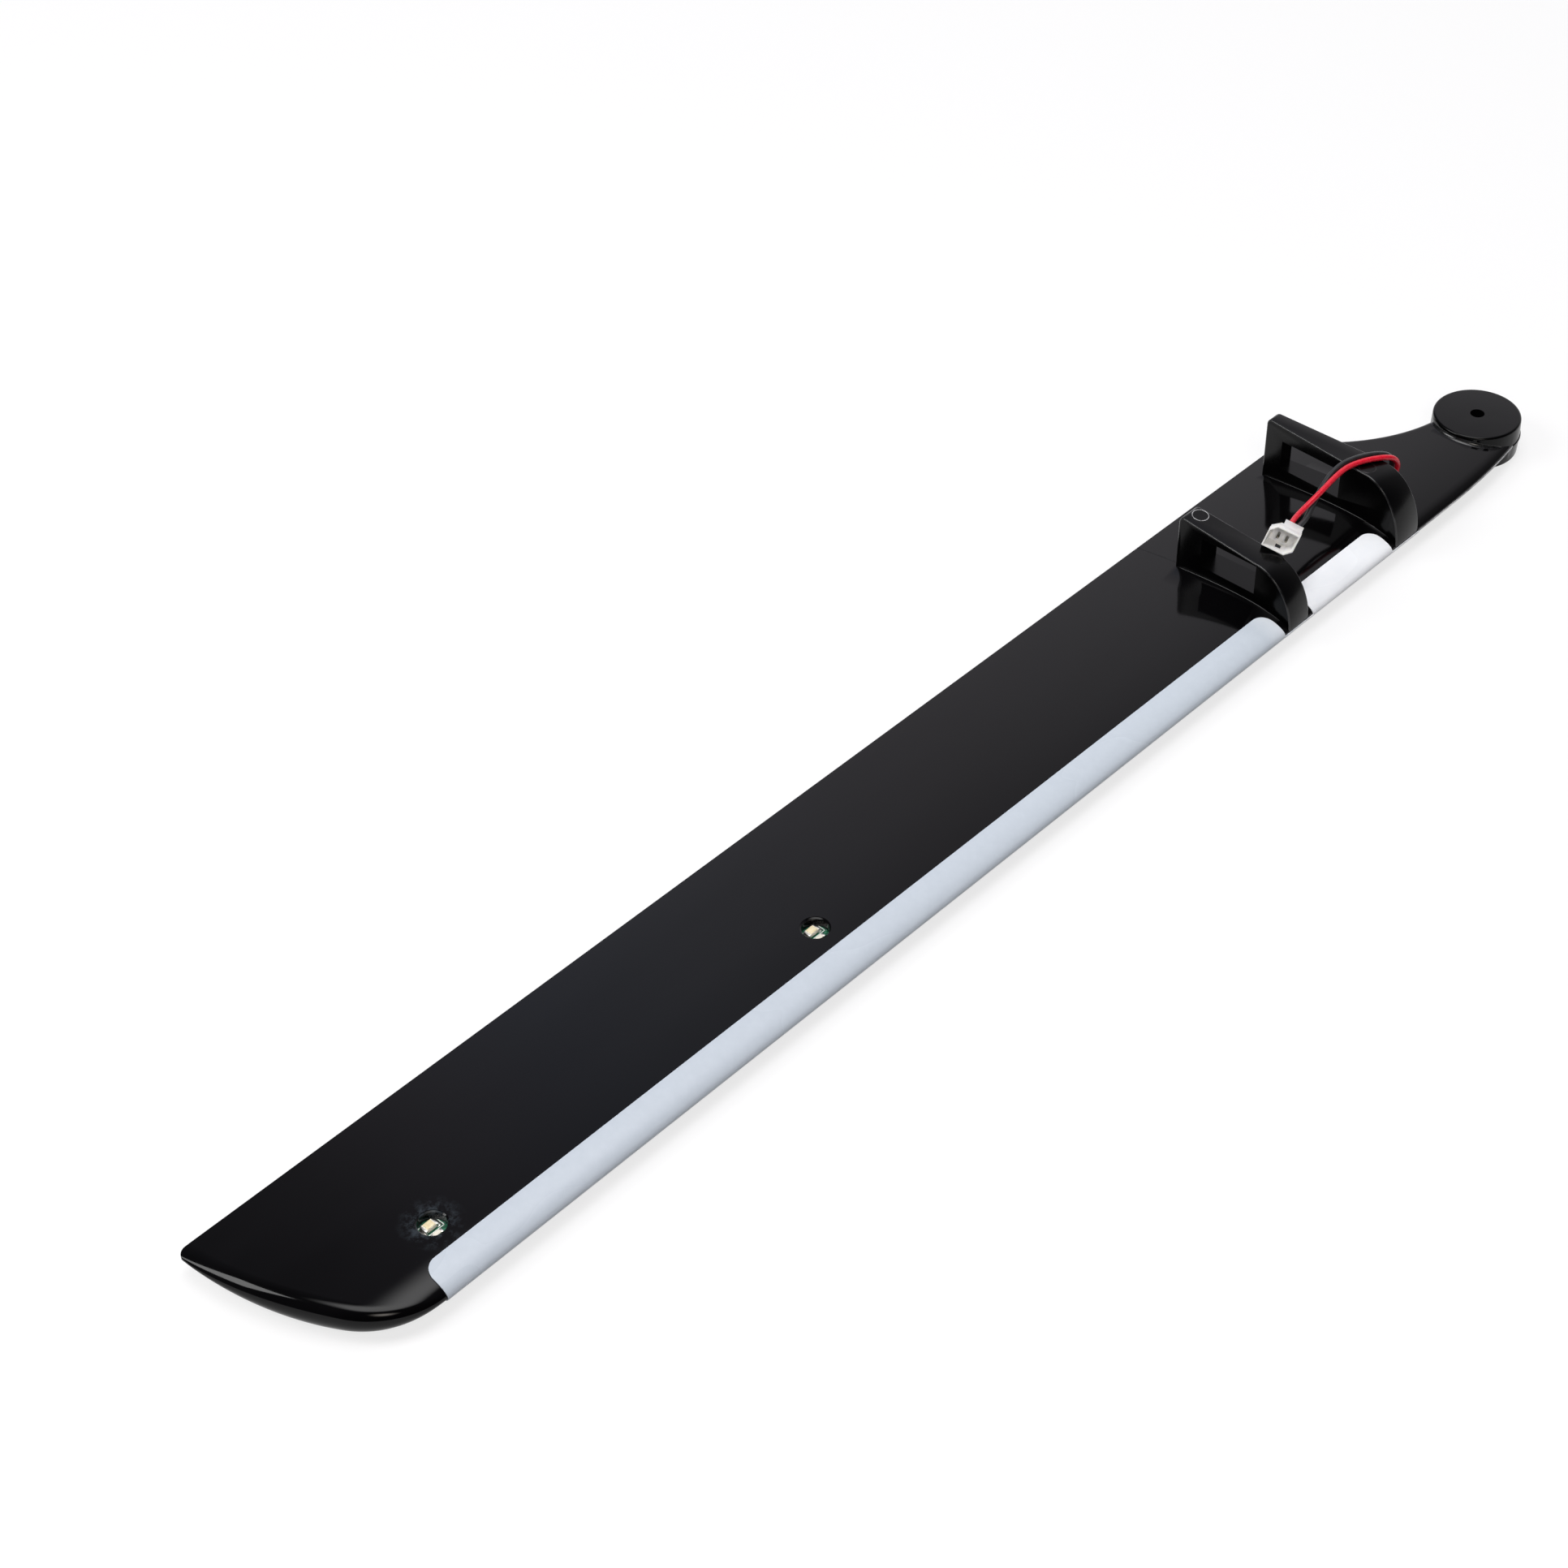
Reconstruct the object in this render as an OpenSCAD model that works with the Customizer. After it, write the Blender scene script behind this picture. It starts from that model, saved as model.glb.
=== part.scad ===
// Lighted rotor blade for a small model helicopter.
// One moulded blade carries two battery clips on its underside. Light boards sit in
// pockets under a channel cover, a wrap film dresses the leading edge, and a short
// lead with a two pin connector lies over the clips.
// X runs from the bore to the tip, Y to the leading edge, Z out of the underside.

/* [Blade] */
// Distance from the root bore to the tip
blade_length = 230; // [225:1:260]
// Chord from leading edge to trailing edge
chord = 27; // [26:0.5:32]
// Distance from the bore axis forward to the leading edge
bore_to_le = 7.9; // [7.5:0.1:9]
// Greatest thickness of the section
foil_t = 3.9; // [3.7:0.1:4.5]
// Thickness of the trailing edge
te_t = 0.7; // [0.4:0.05:1]
// Radius of the tip outline where it leaves the leading edge
tip_le_r = 11.5; // [8:0.5:13]
// Turn of that tip radius, in degrees
tip_turn = 60; // [50:1:70]
// Corner radius where the tip meets the trailing edge
tip_te_r = 1.3; // [0.8:0.1:2]
// Width of the rounding along the tip edge
tip_round = 1.9; // [1.2:0.1:2.5]

/* [Root] */
// Diameter of the root boss at its middle
boss_d = 13.1; // [12:0.1:14]
// Thickness of the root boss
boss_t = 5.6; // [4.4:0.1:6]
// Draft taken off the boss radius at each face
boss_draft = 0.1; // [0:0.02:0.2]
// Rounding of the boss rim
boss_edge_r = 0.5; // [0.2:0.05:0.8]
// Diameter of the bolt hole
bore_d = 2.1; // [1.6:0.1:3]
// Distance behind the bore axis to where the hollow root edge starts
neck_back = 4.7; // [4:0.1:6]
// Distance from the bore to the inboard corner of the trailing edge
root_te_x = 21; // [18:0.2:23]
// Further distance to where the leading edge reaches its full width
root_le_run = 3.2; // [2:0.1:3.5]
// Fullness of the leading edge where it leaves the boss
root_fullness = 3; // [2:0.5:4]
// Width of the rounding along the trimmed root edge
root_round = 1.2; // [0.8:0.1:1.8]

/* [Battery clips] */
// Distance from the bore to the outboard face of the outboard clip
out_clip_x = 57.5; // [52:0.5:65]
// Thickness of the outboard clip at the leading edge
out_clip_t = 4.5; // [4:0.1:6]
// Thickness of the outboard clip at its open end
out_clip_end_t = 3.6; // [2.5:0.1:4]
// How far the outboard face of the outboard clip leans inboard at that end
out_clip_lean = 0.3; // [0:0.1:1]
// Distance behind the bore axis to the end of the outboard clip
out_clip_end = 11.9; // [11:0.1:14]
// Height of the outboard clip at its end, above the middle plane
out_clip_h = 9.9; // [9.5:0.1:12]
// Height of the outboard clip at its shoulder
out_shoulder_h = 8.4; // [8.2:0.1:9.4]
// Distance from the bore to the outboard face of the inboard clip
in_clip_x = 32; // [30:0.5:36]
// Thickness of the inboard clip at the leading edge
in_clip_t = 5.4; // [4.6:0.1:5.5]
// Thickness of the inboard clip at its open end
in_clip_end_t = 2.2; // [1.8:0.1:3.5]
// How far the outboard face of the inboard clip leans inboard at that end
in_clip_lean = 1; // [0:0.1:1.5]
// Distance behind the bore axis to the end of the inboard clip
in_clip_end = 16.2; // [15.5:0.1:17]
// Height of the inboard clip at its end, above the middle plane
in_clip_h = 10.6; // [10.2:0.1:12]
// Height of the inboard clip at its shoulder
in_shoulder_h = 9.5; // [9.3:0.1:10]
// Distance from the leading edge back to where a clip shoulder is full
shoulder_run = 7; // [6:0.2:9]
// Width of the outboard clip's window along the chord
out_window_w = 9.3; // [8:0.1:10]
// Wall between that window and the open end of its clip
out_window_wall = 4.1; // [2:0.1:4.5]
// Width of the inboard clip's window along the chord
in_window_w = 10.4; // [8:0.1:11]
// Wall between that window and the open end of its clip
in_window_wall = 3; // [2:0.1:4]
// Height of both battery windows
window_h = 4.6; // [4.2:0.1:4.8]
// Height of their sills above the middle plane
window_sill = 3.4; // [2.6:0.1:3.6]
// Corner radius at the top of the open end
clip_corner_r = 0.8; // [0.4:0.1:1.2]

/* [Lights] */
// Distance from the bore to the middle light
mid_led_x = 145.1; // [120:0.5:160]
// Distance from the tip back to the tip light
tip_led_gap = 21.3; // [21.2:0.1:35]
// Diameter of a light hole in the underside
lower_hole_d = 3.5; // [2.6:0.1:4]
// Diameter of a light hole in the channel cover
upper_hole_d = 3.6; // [2.6:0.1:4]
// Diameter of the stepped rim round a cover hole
rim_d = 4.8; // [4.2:0.1:5.2]
// Depth of that stepped rim
rim_depth = 0.25; // [0.1:0.05:0.35]
// Length of a light board
board_l = 10.6; // [9:0.2:11]
// Width of a light board
board_w = 7; // [5:0.2:7.4]
// Thickness of a light board
board_t = 0.8; // [0.6:0.05:0.9]
// How far a board sits inboard of its light
board_shift = 1.2; // [0:0.1:1.5]
// Length of a light chip
led_l = 1.9; // [1.2:0.1:2]
// Width of a light chip
led_w = 1.1; // [0.5:0.1:1.2]
// Height of a light chip
led_h = 0.7; // [0.3:0.05:0.8]
// How far the chip on the underside sits behind the middle of its hole
led_back = 0.6; // [0:0.1:0.6]

/* [Channel] */
// Middle of the wire channel, forward of the bore axis
channel_y = 0.4; // [0:0.1:0.8]
// Width of the channel cover
cover_w = 3.5; // [3.2:0.1:4]
// Least thickness of the channel cover over the wires
cover_t = 0.7; // [0.5:0.05:0.9]
// Distance the cover runs on past the tip light
cover_tail = 9.4; // [7:0.1:9.8]
// Ledge on each side that carries the cover
ledge = 0.5; // [0.3:0.05:0.7]
// Gap round the cover and round the boards
fit_gap = 0.06; // [0.03:0.01:0.12]
// Diameter of the wires
wire_d = 0.8; // [0.6:0.05:0.85]
// Distance between the two wires
wire_pitch = 1; // [0.9:0.05:1.1]
// Distance from the bore to where the lead leaves the underside
exit_x = 25.8; // [25.6:0.1:26.2]

/* [Film] */
// Thickness of the wrap film
film_t = 0.12; // [0.08:0.01:0.2]
// Glue layer under the film
glue_t = 0.02; // [0.01:0.01:0.04]
// Distance from the outboard end of the film to where the tip starts to curve
film_end_gap = 0.5; // [0.1:0.1:1.5]
// Distance from the full width of the root to the inboard end of the film
film_root_gap = 0.4; // [0.2:0.1:1]
// Edge of the film behind the bore axis on the upper face
film_back = 9.1; // [8:0.1:11]
// Edge of the wide root panel behind the bore axis
panel_back = 17.7; // [14:0.1:18]
// Distance from the bore to the outboard end of the wide panel
panel_end_x = 61.5; // [56:0.5:70]
// Edge of the underside strip forward of the bore axis
strip_front = 3.8; // [3:0.1:5]
// Gap between a strip and a clip face
strip_gap = 1; // [0.6:0.1:1.4]
// Diameter of the film openings round the lights
film_hole_d = 6; // [5.4:0.1:7]
// Corner radius of the film
film_r = 2; // [1:0.1:2.5]

/* [Connector] */
// Width of the connector mouth
conn_w = 4.3; // [4:0.1:4.6]
// Height of the connector mouth
conn_h = 3.4; // [3.2:0.1:3.8]
// Length of the connector mouth
conn_mouth = 3.2; // [2.8:0.1:3.4]
// Length of the wire block behind the mouth
conn_block = 2.3; // [2:0.1:2.6]
// Width of the wire block
conn_block_w = 2.8; // [2.6:0.1:3.4]
// Height of the wire block
conn_block_h = 2.4; // [2.1:0.1:2.8]
// Wall of the connector
conn_wall = 0.5; // [0.4:0.05:0.6]
// Side of a square contact pin
pin_side = 0.4; // [0.3:0.05:0.5]
// Distance between the contact pins
pin_pitch = 1.25; // [1.1:0.05:1.5]

/* [Hidden] */

// A shape that cuts reaches past the face it opens by this much
over = 1;
// Points round a full circle and along each side of the section
$fn = 48;
side_steps = 16;

boss_r = boss_d / 2;
y_te = bore_to_le - chord;
half_t = foil_t / 2;
te_half = te_t / 2;
edge_min = 0.05;

// Share of the chord at which the section is thickest, and the terms of its curve
peak_share = 0.3;
foil_terms = [2.969, -1.26, -3.516, 2.843, -1.036];

// Outline of the root: a full curve to the leading edge, a hollow arc to the trailing edge
root_le_x = root_te_x + root_le_run;
root_inset = 0.02;
root_half = boss_r - root_inset;
root_drop = -neck_back - y_te;
root_arc_r = (root_te_x * root_te_x + root_drop * root_drop) / (2 * root_drop);
root_steps = 10;

// Outline of the tip: a small arc off the leading edge, then a long arc to the trailing edge
tip_break_y = bore_to_le - tip_le_r * (1 - cos(tip_turn));
tip_arc_r = (tip_break_y - y_te) / cos(tip_turn);
tip_break_x = blade_length - tip_arc_r * (1 - sin(tip_turn));
tip_start_x = tip_break_x - tip_le_r * sin(tip_turn);
tip_end_gap = 0.05;
tip_end_turn = asin(1 - tip_end_gap / tip_arc_r);
tip_steps = 6;

// Levels inside the blade, measured from the middle plane
floor_z = -0.25;
seat_z = floor_z + board_t;
lid_z = cover_t - half_t;
wire_z = floor_z - wire_d / 2;
lead_start_z = 0.9;
board_room = board_l / 2 + fit_gap;
groove_w = cover_w - 2 * ledge;
cover_lead = 0.3;
tip_led_x = blade_length - tip_led_gap;
cover_start_x = exit_x - wire_d / 2 - cover_lead;
cover_end_x = tip_led_x + cover_tail;
head_slope = 1.4;
solder_lap = 1.5;

// Root end of the film: a knee near the bore axis, then a lean to the wide panel
film_root_x = root_le_x + film_root_gap;
film_end_x = tip_start_x - film_end_gap;
film_knee_y = 2.4;
film_front_run = 2;
panel_lean = 3.4;
// Slope from the wide panel to the film's long edge, and the easing at its end
panel_slant = 8;
slant_ease = [2.5, 0.8];

// Place and turn of the connector as it rests on the outboard clip
conn_pos = [52.8, 2, 10.1];
conn_turn = [-18, -20, 26];
conn_gap = 0.03;
wire_socket = 1.2;
socket_gap = 0.15;
block_mid = (conn_w - conn_block_w) / 2;
block_z = (conn_h - conn_block_h) / 2;
key_w = 1.1;
key_l = 0.8;
conn_chamfer = 0.6;

// Route of each free wire from the blade to the connector
red_route = [
    [25.8, 0.9, 0.9], [25.8, 0.9, 2.2], [25.5, 1.1, 3.4], [24.9, 1.5, 4.6],
    [24.4, 1.8, 5.9], [24.3, 2, 7.2], [24.8, 2.1, 8.5], [25.9, 1.8, 9.6],
    [27.4, 1.1, 10], [29.1, 0.1, 10.1], [30.9, -0.7, 10.1], [32.8, -1.2, 10.1],
    [34.8, -1.2, 10], [36.8, -1.1, 9.8], [38.8, -0.9, 9.6], [40.7, -1, 9.1],
    [42.3, -1.1, 8.6], [43.9, -1.1, 8.3], [45.5, -0.9, 8.2], [47, -0.4, 8.3],
    [48.4, 0.3, 8.9]
];
black_route = [
    [25.8, -0.1, 0.9], [25.8, -0.1, 2.2], [25.4, 0.1, 3.4], [24.8, 0.5, 4.6],
    [24.3, 0.8, 5.9], [24.2, 1, 7.2], [24.7, 1.1, 8.5], [25.8, 0.8, 9.6],
    [27.3, 0.1, 10.1], [29, -0.9, 10.2], [30.8, -1.7, 10.2], [32.8, -2.2, 10.1],
    [34.8, -2.2, 9.8], [36.8, -1.9, 9.4], [38.8, -1.5, 8.9], [40.7, -1, 8.2],
    [42.3, -0.5, 7.9], [43.8, 0, 7.7], [45.2, 0.2, 7.8], [46.7, 0.5, 8.1],
    [48.1, 1.2, 8.6]
];
cord_sides = 8;

// Half thickness of the section at a distance back from the leading edge
function foil_shape(u) = foil_terms * [sqrt(u), u, u * u, pow(u, 3), pow(u, 4)];
function foil_half(s) =
    let (u = min(max(s / chord, 0), 1))
    foil_shape(u) * (half_t - peak_share * te_half) + te_half * u;

// Fade from one inside to zero at a rounded edge
function edge_fade(d, width) =
    let (k = min(max(d / width, 0), 1))
    sqrt(1 - (1 - k) * (1 - k));

// Front and back of the outline at a station
function root_front(x) =
    bore_to_le - (bore_to_le - root_half) * pow(max(1 - x / root_le_x, 0), root_fullness);
function root_back(x) =
    -neck_back - root_arc_r + sqrt(root_arc_r * root_arc_r - x * x);
function tip_edge_x(y) =
    y > tip_break_y
    ? tip_start_x + sqrt(max(tip_le_r * tip_le_r - pow(y - bore_to_le + tip_le_r, 2), 0))
    : blade_length - tip_arc_r + sqrt(tip_arc_r * tip_arc_r - pow(y - y_te, 2));
function tip_back(x) =
    let (d = max(x - blade_length + tip_te_r, 0))
    y_te + tip_te_r - sqrt(tip_te_r * tip_te_r - d * d);

// Half thickness at a point of the plan
function blade_half(x, y, front, back) =
    let (base = foil_half((x < root_le_x ? front : bore_to_le) - y))
    x < root_te_x - edge_min ? base * edge_fade(y - back, root_round)
    : x > tip_start_x ? base * edge_fade(tip_edge_x(y) - x, tip_round)
    : base;

// Points round one section, from the leading edge over the underside and back
function side_share(j) = (1 - cos(180 * j / side_steps)) / 2;
function section_points(x, front, back) =
    let (
        ys = [for (j = [0 : side_steps]) front - (front - back) * side_share(j)],
        zs = [for (j = [0 : side_steps])
            j == 0 ? 0 : max(blade_half(x, ys[j], front, back), edge_min)]
    )
    concat(
        [for (j = [0 : side_steps]) [x, ys[j], zs[j]]],
        [for (j = [side_steps : -1 : 1]) [x, ys[j], -zs[j]]]
    );

// Stations of the root and of the tip as distance, front and back of the outline
function root_stations() = concat(
    [for (i = [0 : root_steps])
        let (x = root_te_x * sin(90 * i / root_steps))
        [x, root_front(x), root_back(x)]],
    [[root_le_x, bore_to_le, y_te]]
);
function tip_stations() = concat(
    [for (i = [0 : tip_steps])
        let (turn = tip_turn * i / tip_steps, x = tip_start_x + tip_le_r * sin(turn))
        [x, bore_to_le - tip_le_r * (1 - cos(turn)), tip_back(x)]],
    [for (i = [1 : tip_steps])
        let (
            turn = tip_turn + (tip_end_turn - tip_turn) * i / tip_steps,
            x = blade_length - tip_arc_r * (1 - sin(turn))
        )
        [x, y_te + tip_arc_r * cos(turn), tip_back(x)]]
);

// Skin of a row of rings that all have the same number of points
function ring_faces(rings, count) = concat(
    [[for (k = [0 : count - 1]) k]],
    [for (i = [0 : rings - 2], k = [0 : count - 1])
        let (a = i * count + k, b = i * count + (k + 1) % count)
        [a, a + count, b + count, b]],
    [[for (k = [count - 1 : -1 : 0]) (rings - 1) * count + k]]
);

// Section of the full blade as a flat outline, grown outward by a margin
function plain_section() =
    [for (p = section_points((root_le_x + tip_start_x) / 2, bore_to_le, y_te)) [p[1], p[2]]];
function outward(points, i) =
    let (
        n = len(points),
        along = points[(i + 1) % n] - points[(i + n - 1) % n]
    )
    [along[1], -along[0]] / norm(along);
function grown_section(margin) =
    let (points = plain_section())
    [for (i = [0 : len(points) - 1]) points[i] + margin * outward(points, i)];

// Corner points of an arc in the plan
function arc_points(centre, r, from, to, steps = 6) =
    [for (i = [0 : steps])
        let (a = from + (to - from) * i / steps)
        centre + r * [cos(a), sin(a)]];

// Extrude a flat shape drawn in Y and Z along X
module along_x(from, to) {
    translate([from, 0, 0])
        rotate([90, 0, 90])
            linear_extrude(height = to - from)
                children();
}

module section_loft(list) {
    rings = [for (s = list) each section_points(s[0], s[1], s[2])];
    polyhedron(rings, ring_faces(len(list), 2 * side_steps + 1), convexity = 4);
}

module blade_span() {
    along_x(root_le_x, tip_start_x)
        polygon(plain_section());
}

module root_boss() {
    top = boss_t / 2;
    face_r = boss_r - boss_draft;
    rim = arc_points([face_r - boss_edge_r, top - boss_edge_r], boss_edge_r, 0, 90);
    rotate_extrude()
        polygon(concat(
            [[0, -top]],
            [for (i = [len(rim) - 1 : -1 : 0]) [rim[i][0], -rim[i][1]]],
            [[boss_r, 0]],
            rim,
            [[0, top]]
        ));
}

// One arched clip: a full shoulder at the leading edge, a sloping top and an open window
module battery_clip(face_x, thick, end_thick, lean, end_back, end_h, shoulder_h, window_w, wall) {
    shoulder_y = bore_to_le - shoulder_run;
    slope = (end_h - shoulder_h) / (shoulder_y + end_back);
    window_y = -end_back + wall;
    end_x = face_x - lean;
    corner = [-end_back + clip_corner_r, end_h - clip_corner_r * (1 + slope)];
    shoulder = [for (a = [0 : 7.5 : 90]) [shoulder_y + shoulder_run * cos(a), shoulder_h * sin(a)]];
    difference() {
        intersection() {
            along_x(face_x - thick - over, face_x + over)
                polygon(concat(
                    shoulder,
                    arc_points(corner, clip_corner_r, 90, 180),
                    [[-end_back, 0]]
                ));
            linear_extrude(height = end_h + over)
                polygon([
                    [face_x - thick, bore_to_le],
                    [face_x, bore_to_le],
                    [end_x, -end_back],
                    [end_x - end_thick, -end_back]
                ]);
        }
        translate([face_x - thick - over, window_y, window_sill])
            cube([thick + 2 * over, window_w, window_h]);
    }
}

// Plan of the channel cover, grown by a margin, with a wide head over each light board
function cover_plan(margin) =
    let (
        front = channel_y + cover_w / 2 + margin,
        back = channel_y - cover_w / 2 - margin,
        head = board_w / 2 + ledge + margin,
        reach = board_l / 2 + ledge + margin
    )
    concat(
        [[cover_start_x - margin, back]],
        [for (x = [mid_led_x, tip_led_x])
            let (m = x - board_shift)
            each [
                [m - reach - head_slope, back], [m - reach, -head],
                [m + reach, -head], [m + reach + head_slope, back]
            ]],
        [[cover_end_x + margin, back], [cover_end_x + margin, front]],
        [for (x = [tip_led_x, mid_led_x])
            let (m = x - board_shift)
            each [
                [m + reach + head_slope, front], [m + reach, head],
                [m - reach, head], [m - reach - head_slope, front]
            ]],
        [[cover_start_x - margin, front]]
    );

// Room for the cover, the wires and the boards, opened from the upper face
module channel_cut() {
    translate([0, 0, -half_t - over])
        linear_extrude(height = half_t + over + lid_z)
            polygon(cover_plan(fit_gap));
    translate([cover_start_x + ledge - fit_gap, channel_y - groove_w / 2, -half_t - over])
        cube([tip_led_x - cover_start_x, groove_w, half_t + over + floor_z]);
    for (x = [mid_led_x, tip_led_x])
        translate([x - board_shift - board_room, -board_w / 2 - fit_gap, -half_t - over])
            cube([2 * board_room, board_w + 2 * fit_gap, half_t + over + seat_z]);
}

module light_holes(diameter, from, to) {
    for (x = [mid_led_x, tip_led_x])
        translate([x, 0, from])
            cylinder(d = diameter, h = to - from);
}

// Oblong hole for the two wires of the lead
module lead_exit() {
    room = wire_d + 2 * socket_gap;
    for (side = [-1, 1])
        translate([exit_x, channel_y + side * wire_pitch / 2, floor_z - over])
            cylinder(d = room, h = half_t + 2 * over);
    translate([exit_x - room / 2, channel_y - wire_pitch / 2, floor_z - over])
        cube([room, wire_pitch, half_t + 2 * over]);
}

module root_bore() {
    translate([0, 0, -boss_t / 2 - over])
        cylinder(d = bore_d, h = boss_t + 2 * over);
}

module blade() {
    color([0.09, 0.09, 0.1])
        union() {
            difference() {
                union() {
                    blade_span();
                    battery_clip(out_clip_x, out_clip_t, out_clip_end_t, out_clip_lean,
                        out_clip_end, out_clip_h, out_shoulder_h, out_window_w, out_window_wall);
                    battery_clip(in_clip_x, in_clip_t, in_clip_end_t, in_clip_lean,
                        in_clip_end, in_clip_h, in_shoulder_h, in_window_w, in_window_wall);
                }
                channel_cut();
                light_holes(lower_hole_d, 0, half_t + over);
                lead_exit();
            }
            difference() {
                section_loft(tip_stations());
                channel_cut();
            }
            difference() {
                union() {
                    section_loft(root_stations());
                    root_boss();
                }
                root_bore();
            }
        }
}

module channel_cover() {
    color([0.11, 0.11, 0.12])
        difference() {
            intersection() {
                along_x(cover_start_x, cover_end_x)
                    polygon(plain_section());
                translate([0, 0, -half_t - over])
                    linear_extrude(height = half_t + over + lid_z)
                        polygon(cover_plan(0));
            }
            light_holes(upper_hole_d, -half_t - over, 0);
            light_holes(rim_d, -half_t - over, rim_depth - half_t);
        }
}

// Plan of the film on the upper face, with its wide root panel
function upper_plan() =
    let (
        front = bore_to_le + over,
        panel_x = film_root_x + panel_lean,
        slant_x = panel_end_x + panel_slant
    )
    concat(
        [[film_end_x, front], [film_root_x + film_front_run, front]],
        [[film_root_x, film_knee_y], [panel_x, -panel_back + film_r]],
        arc_points([panel_x + film_r, -panel_back + film_r], film_r, 180, 270),
        [[panel_end_x, -panel_back], [slant_x, -film_back - slant_ease[1]]],
        [[slant_x + slant_ease[0], -film_back]],
        arc_points([film_end_x - film_r, -film_back + film_r], film_r, -90, 0)
    );

// Plan of one underside strip with round inner corners
function strip_plan(from, to) = concat(
    [[to, bore_to_le + over], [from, bore_to_le + over]],
    arc_points([from + film_r, strip_front + film_r], film_r, 180, 270),
    arc_points([to - film_r, strip_front + film_r], film_r, 270, 360)
);

module film_shell() {
    along_x(root_le_x, film_end_x)
        difference() {
            polygon(grown_section(glue_t + film_t));
            polygon(grown_section(glue_t));
        }
}

module wrap_film() {
    reach = half_t + over;
    color([0.79, 0.83, 0.87])
        union() {
            difference() {
                intersection() {
                    film_shell();
                    translate([0, 0, -reach])
                        linear_extrude(height = reach)
                            polygon(upper_plan());
                }
                light_holes(film_hole_d, -reach, 0);
            }
            intersection() {
                film_shell();
                linear_extrude(height = reach)
                    union() {
                        polygon(strip_plan(out_clip_x + strip_gap, film_end_x));
                        polygon(strip_plan(in_clip_x + strip_gap, out_clip_x - out_clip_t - strip_gap));
                    }
            }
        }
}

module light_board(x) {
    color([0.1, 0.38, 0.24])
        translate([x - board_shift - board_l / 2, -board_w / 2, floor_z])
            cube([board_l, board_w, board_t]);
}

module light_chip(x, y, z) {
    color([0.86, 0.8, 0.66])
        translate([x - led_l / 2, y - led_w / 2, z])
            cube([led_l, led_w, led_h]);
}

module straight_wire(side, from, to) {
    translate([from, channel_y + side * wire_pitch / 2, wire_z])
        rotate([0, 90, 0])
            cylinder(d = wire_d, h = to - from);
}

// Wire from the exit hole along the channel to the middle board
module feed_wire(side) {
    end = mid_led_x - board_shift - board_l / 2 + solder_lap;
    straight_wire(side, exit_x, end);
    translate([exit_x, channel_y + side * wire_pitch / 2, wire_z]) {
        sphere(d = wire_d);
        cylinder(d = wire_d, h = lead_start_z - wire_z);
    }
}

// Wire from the middle board on to the tip board
module link_wire(side) {
    from = mid_led_x - board_shift + board_l / 2 - solder_lap;
    to = tip_led_x - board_shift - board_l / 2 + solder_lap;
    straight_wire(side, from, to);
}

// Round tube along a route that never runs along Y
function unit(v) = v / norm(v);
function route_way(route, i) =
    unit(route[min(i + 1, len(route) - 1)] - route[max(i - 1, 0)]);
function cord_ring(route, i) =
    let (
        way = i == 0 ? [0, 0, 1] : route_way(route, i),
        across = unit([0, 1, 0] - way[1] * way),
        rise = cross(way, across)
    )
    [for (k = [0 : cord_sides - 1])
        let (a = 360 * k / cord_sides)
        route[i] + wire_d / 2 * (cos(a) * across + sin(a) * rise)];

module cord_tube(route) {
    rings = [for (i = [0 : len(route) - 1]) each cord_ring(route, i)];
    polyhedron(rings, ring_faces(len(route), cord_sides), convexity = 6);
}

module at_connector() {
    translate(conn_pos)
        rotate(conn_turn)
            children();
}

// Mouth outline with two cut corners
module mouth_outline() {
    w = conn_w / 2;
    h = conn_h / 2;
    polygon([
        [w, h], [-w + conn_chamfer, h], [-w, h - conn_chamfer],
        [-w, -h], [w - conn_chamfer, -h], [w, -h + conn_chamfer]
    ]);
}

module connector_housing() {
    back = -conn_mouth - conn_block;
    cavity = [conn_mouth, conn_w - 2 * conn_wall, conn_h - 2 * conn_wall];
    color([0.93, 0.92, 0.88])
        at_connector()
            difference() {
                union() {
                    along_x(-conn_mouth, 0)
                        mouth_outline();
                    translate([back, block_mid - conn_block_w / 2, block_z - conn_block_h / 2])
                        cube([conn_block + conn_wall, conn_block_w, conn_block_h]);
                }
                translate([conn_wall - conn_mouth, -cavity[1] / 2, -cavity[2] / 2])
                    cube(cavity);
                translate([-conn_mouth / 2 - key_l / 2, -key_w / 2, -conn_h / 2 - over])
                    cube([key_l, key_w, conn_wall + over + conn_gap]);
                for (side = [-1, 1]) {
                    translate([back - over, block_mid + side * wire_pitch / 2, block_z])
                        rotate([0, 90, 0])
                            cylinder(d = wire_d + 2 * socket_gap, h = over + wire_socket);
                    pin_bar(side, conn_gap, back + wire_socket + conn_wall);
                }
            }
}

module pin_bar(side, margin, from) {
    size = pin_side + 2 * margin;
    tip = -conn_mouth / 4;
    translate([from - margin, side * pin_pitch / 2 - size / 2, -size / 2])
        cube([tip - from + margin, size, size]);
}

module contact_pin(side) {
    color([0.78, 0.76, 0.7])
        at_connector()
            pin_bar(side, 0, -conn_mouth - conn_block + wire_socket + conn_wall);
}

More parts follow.
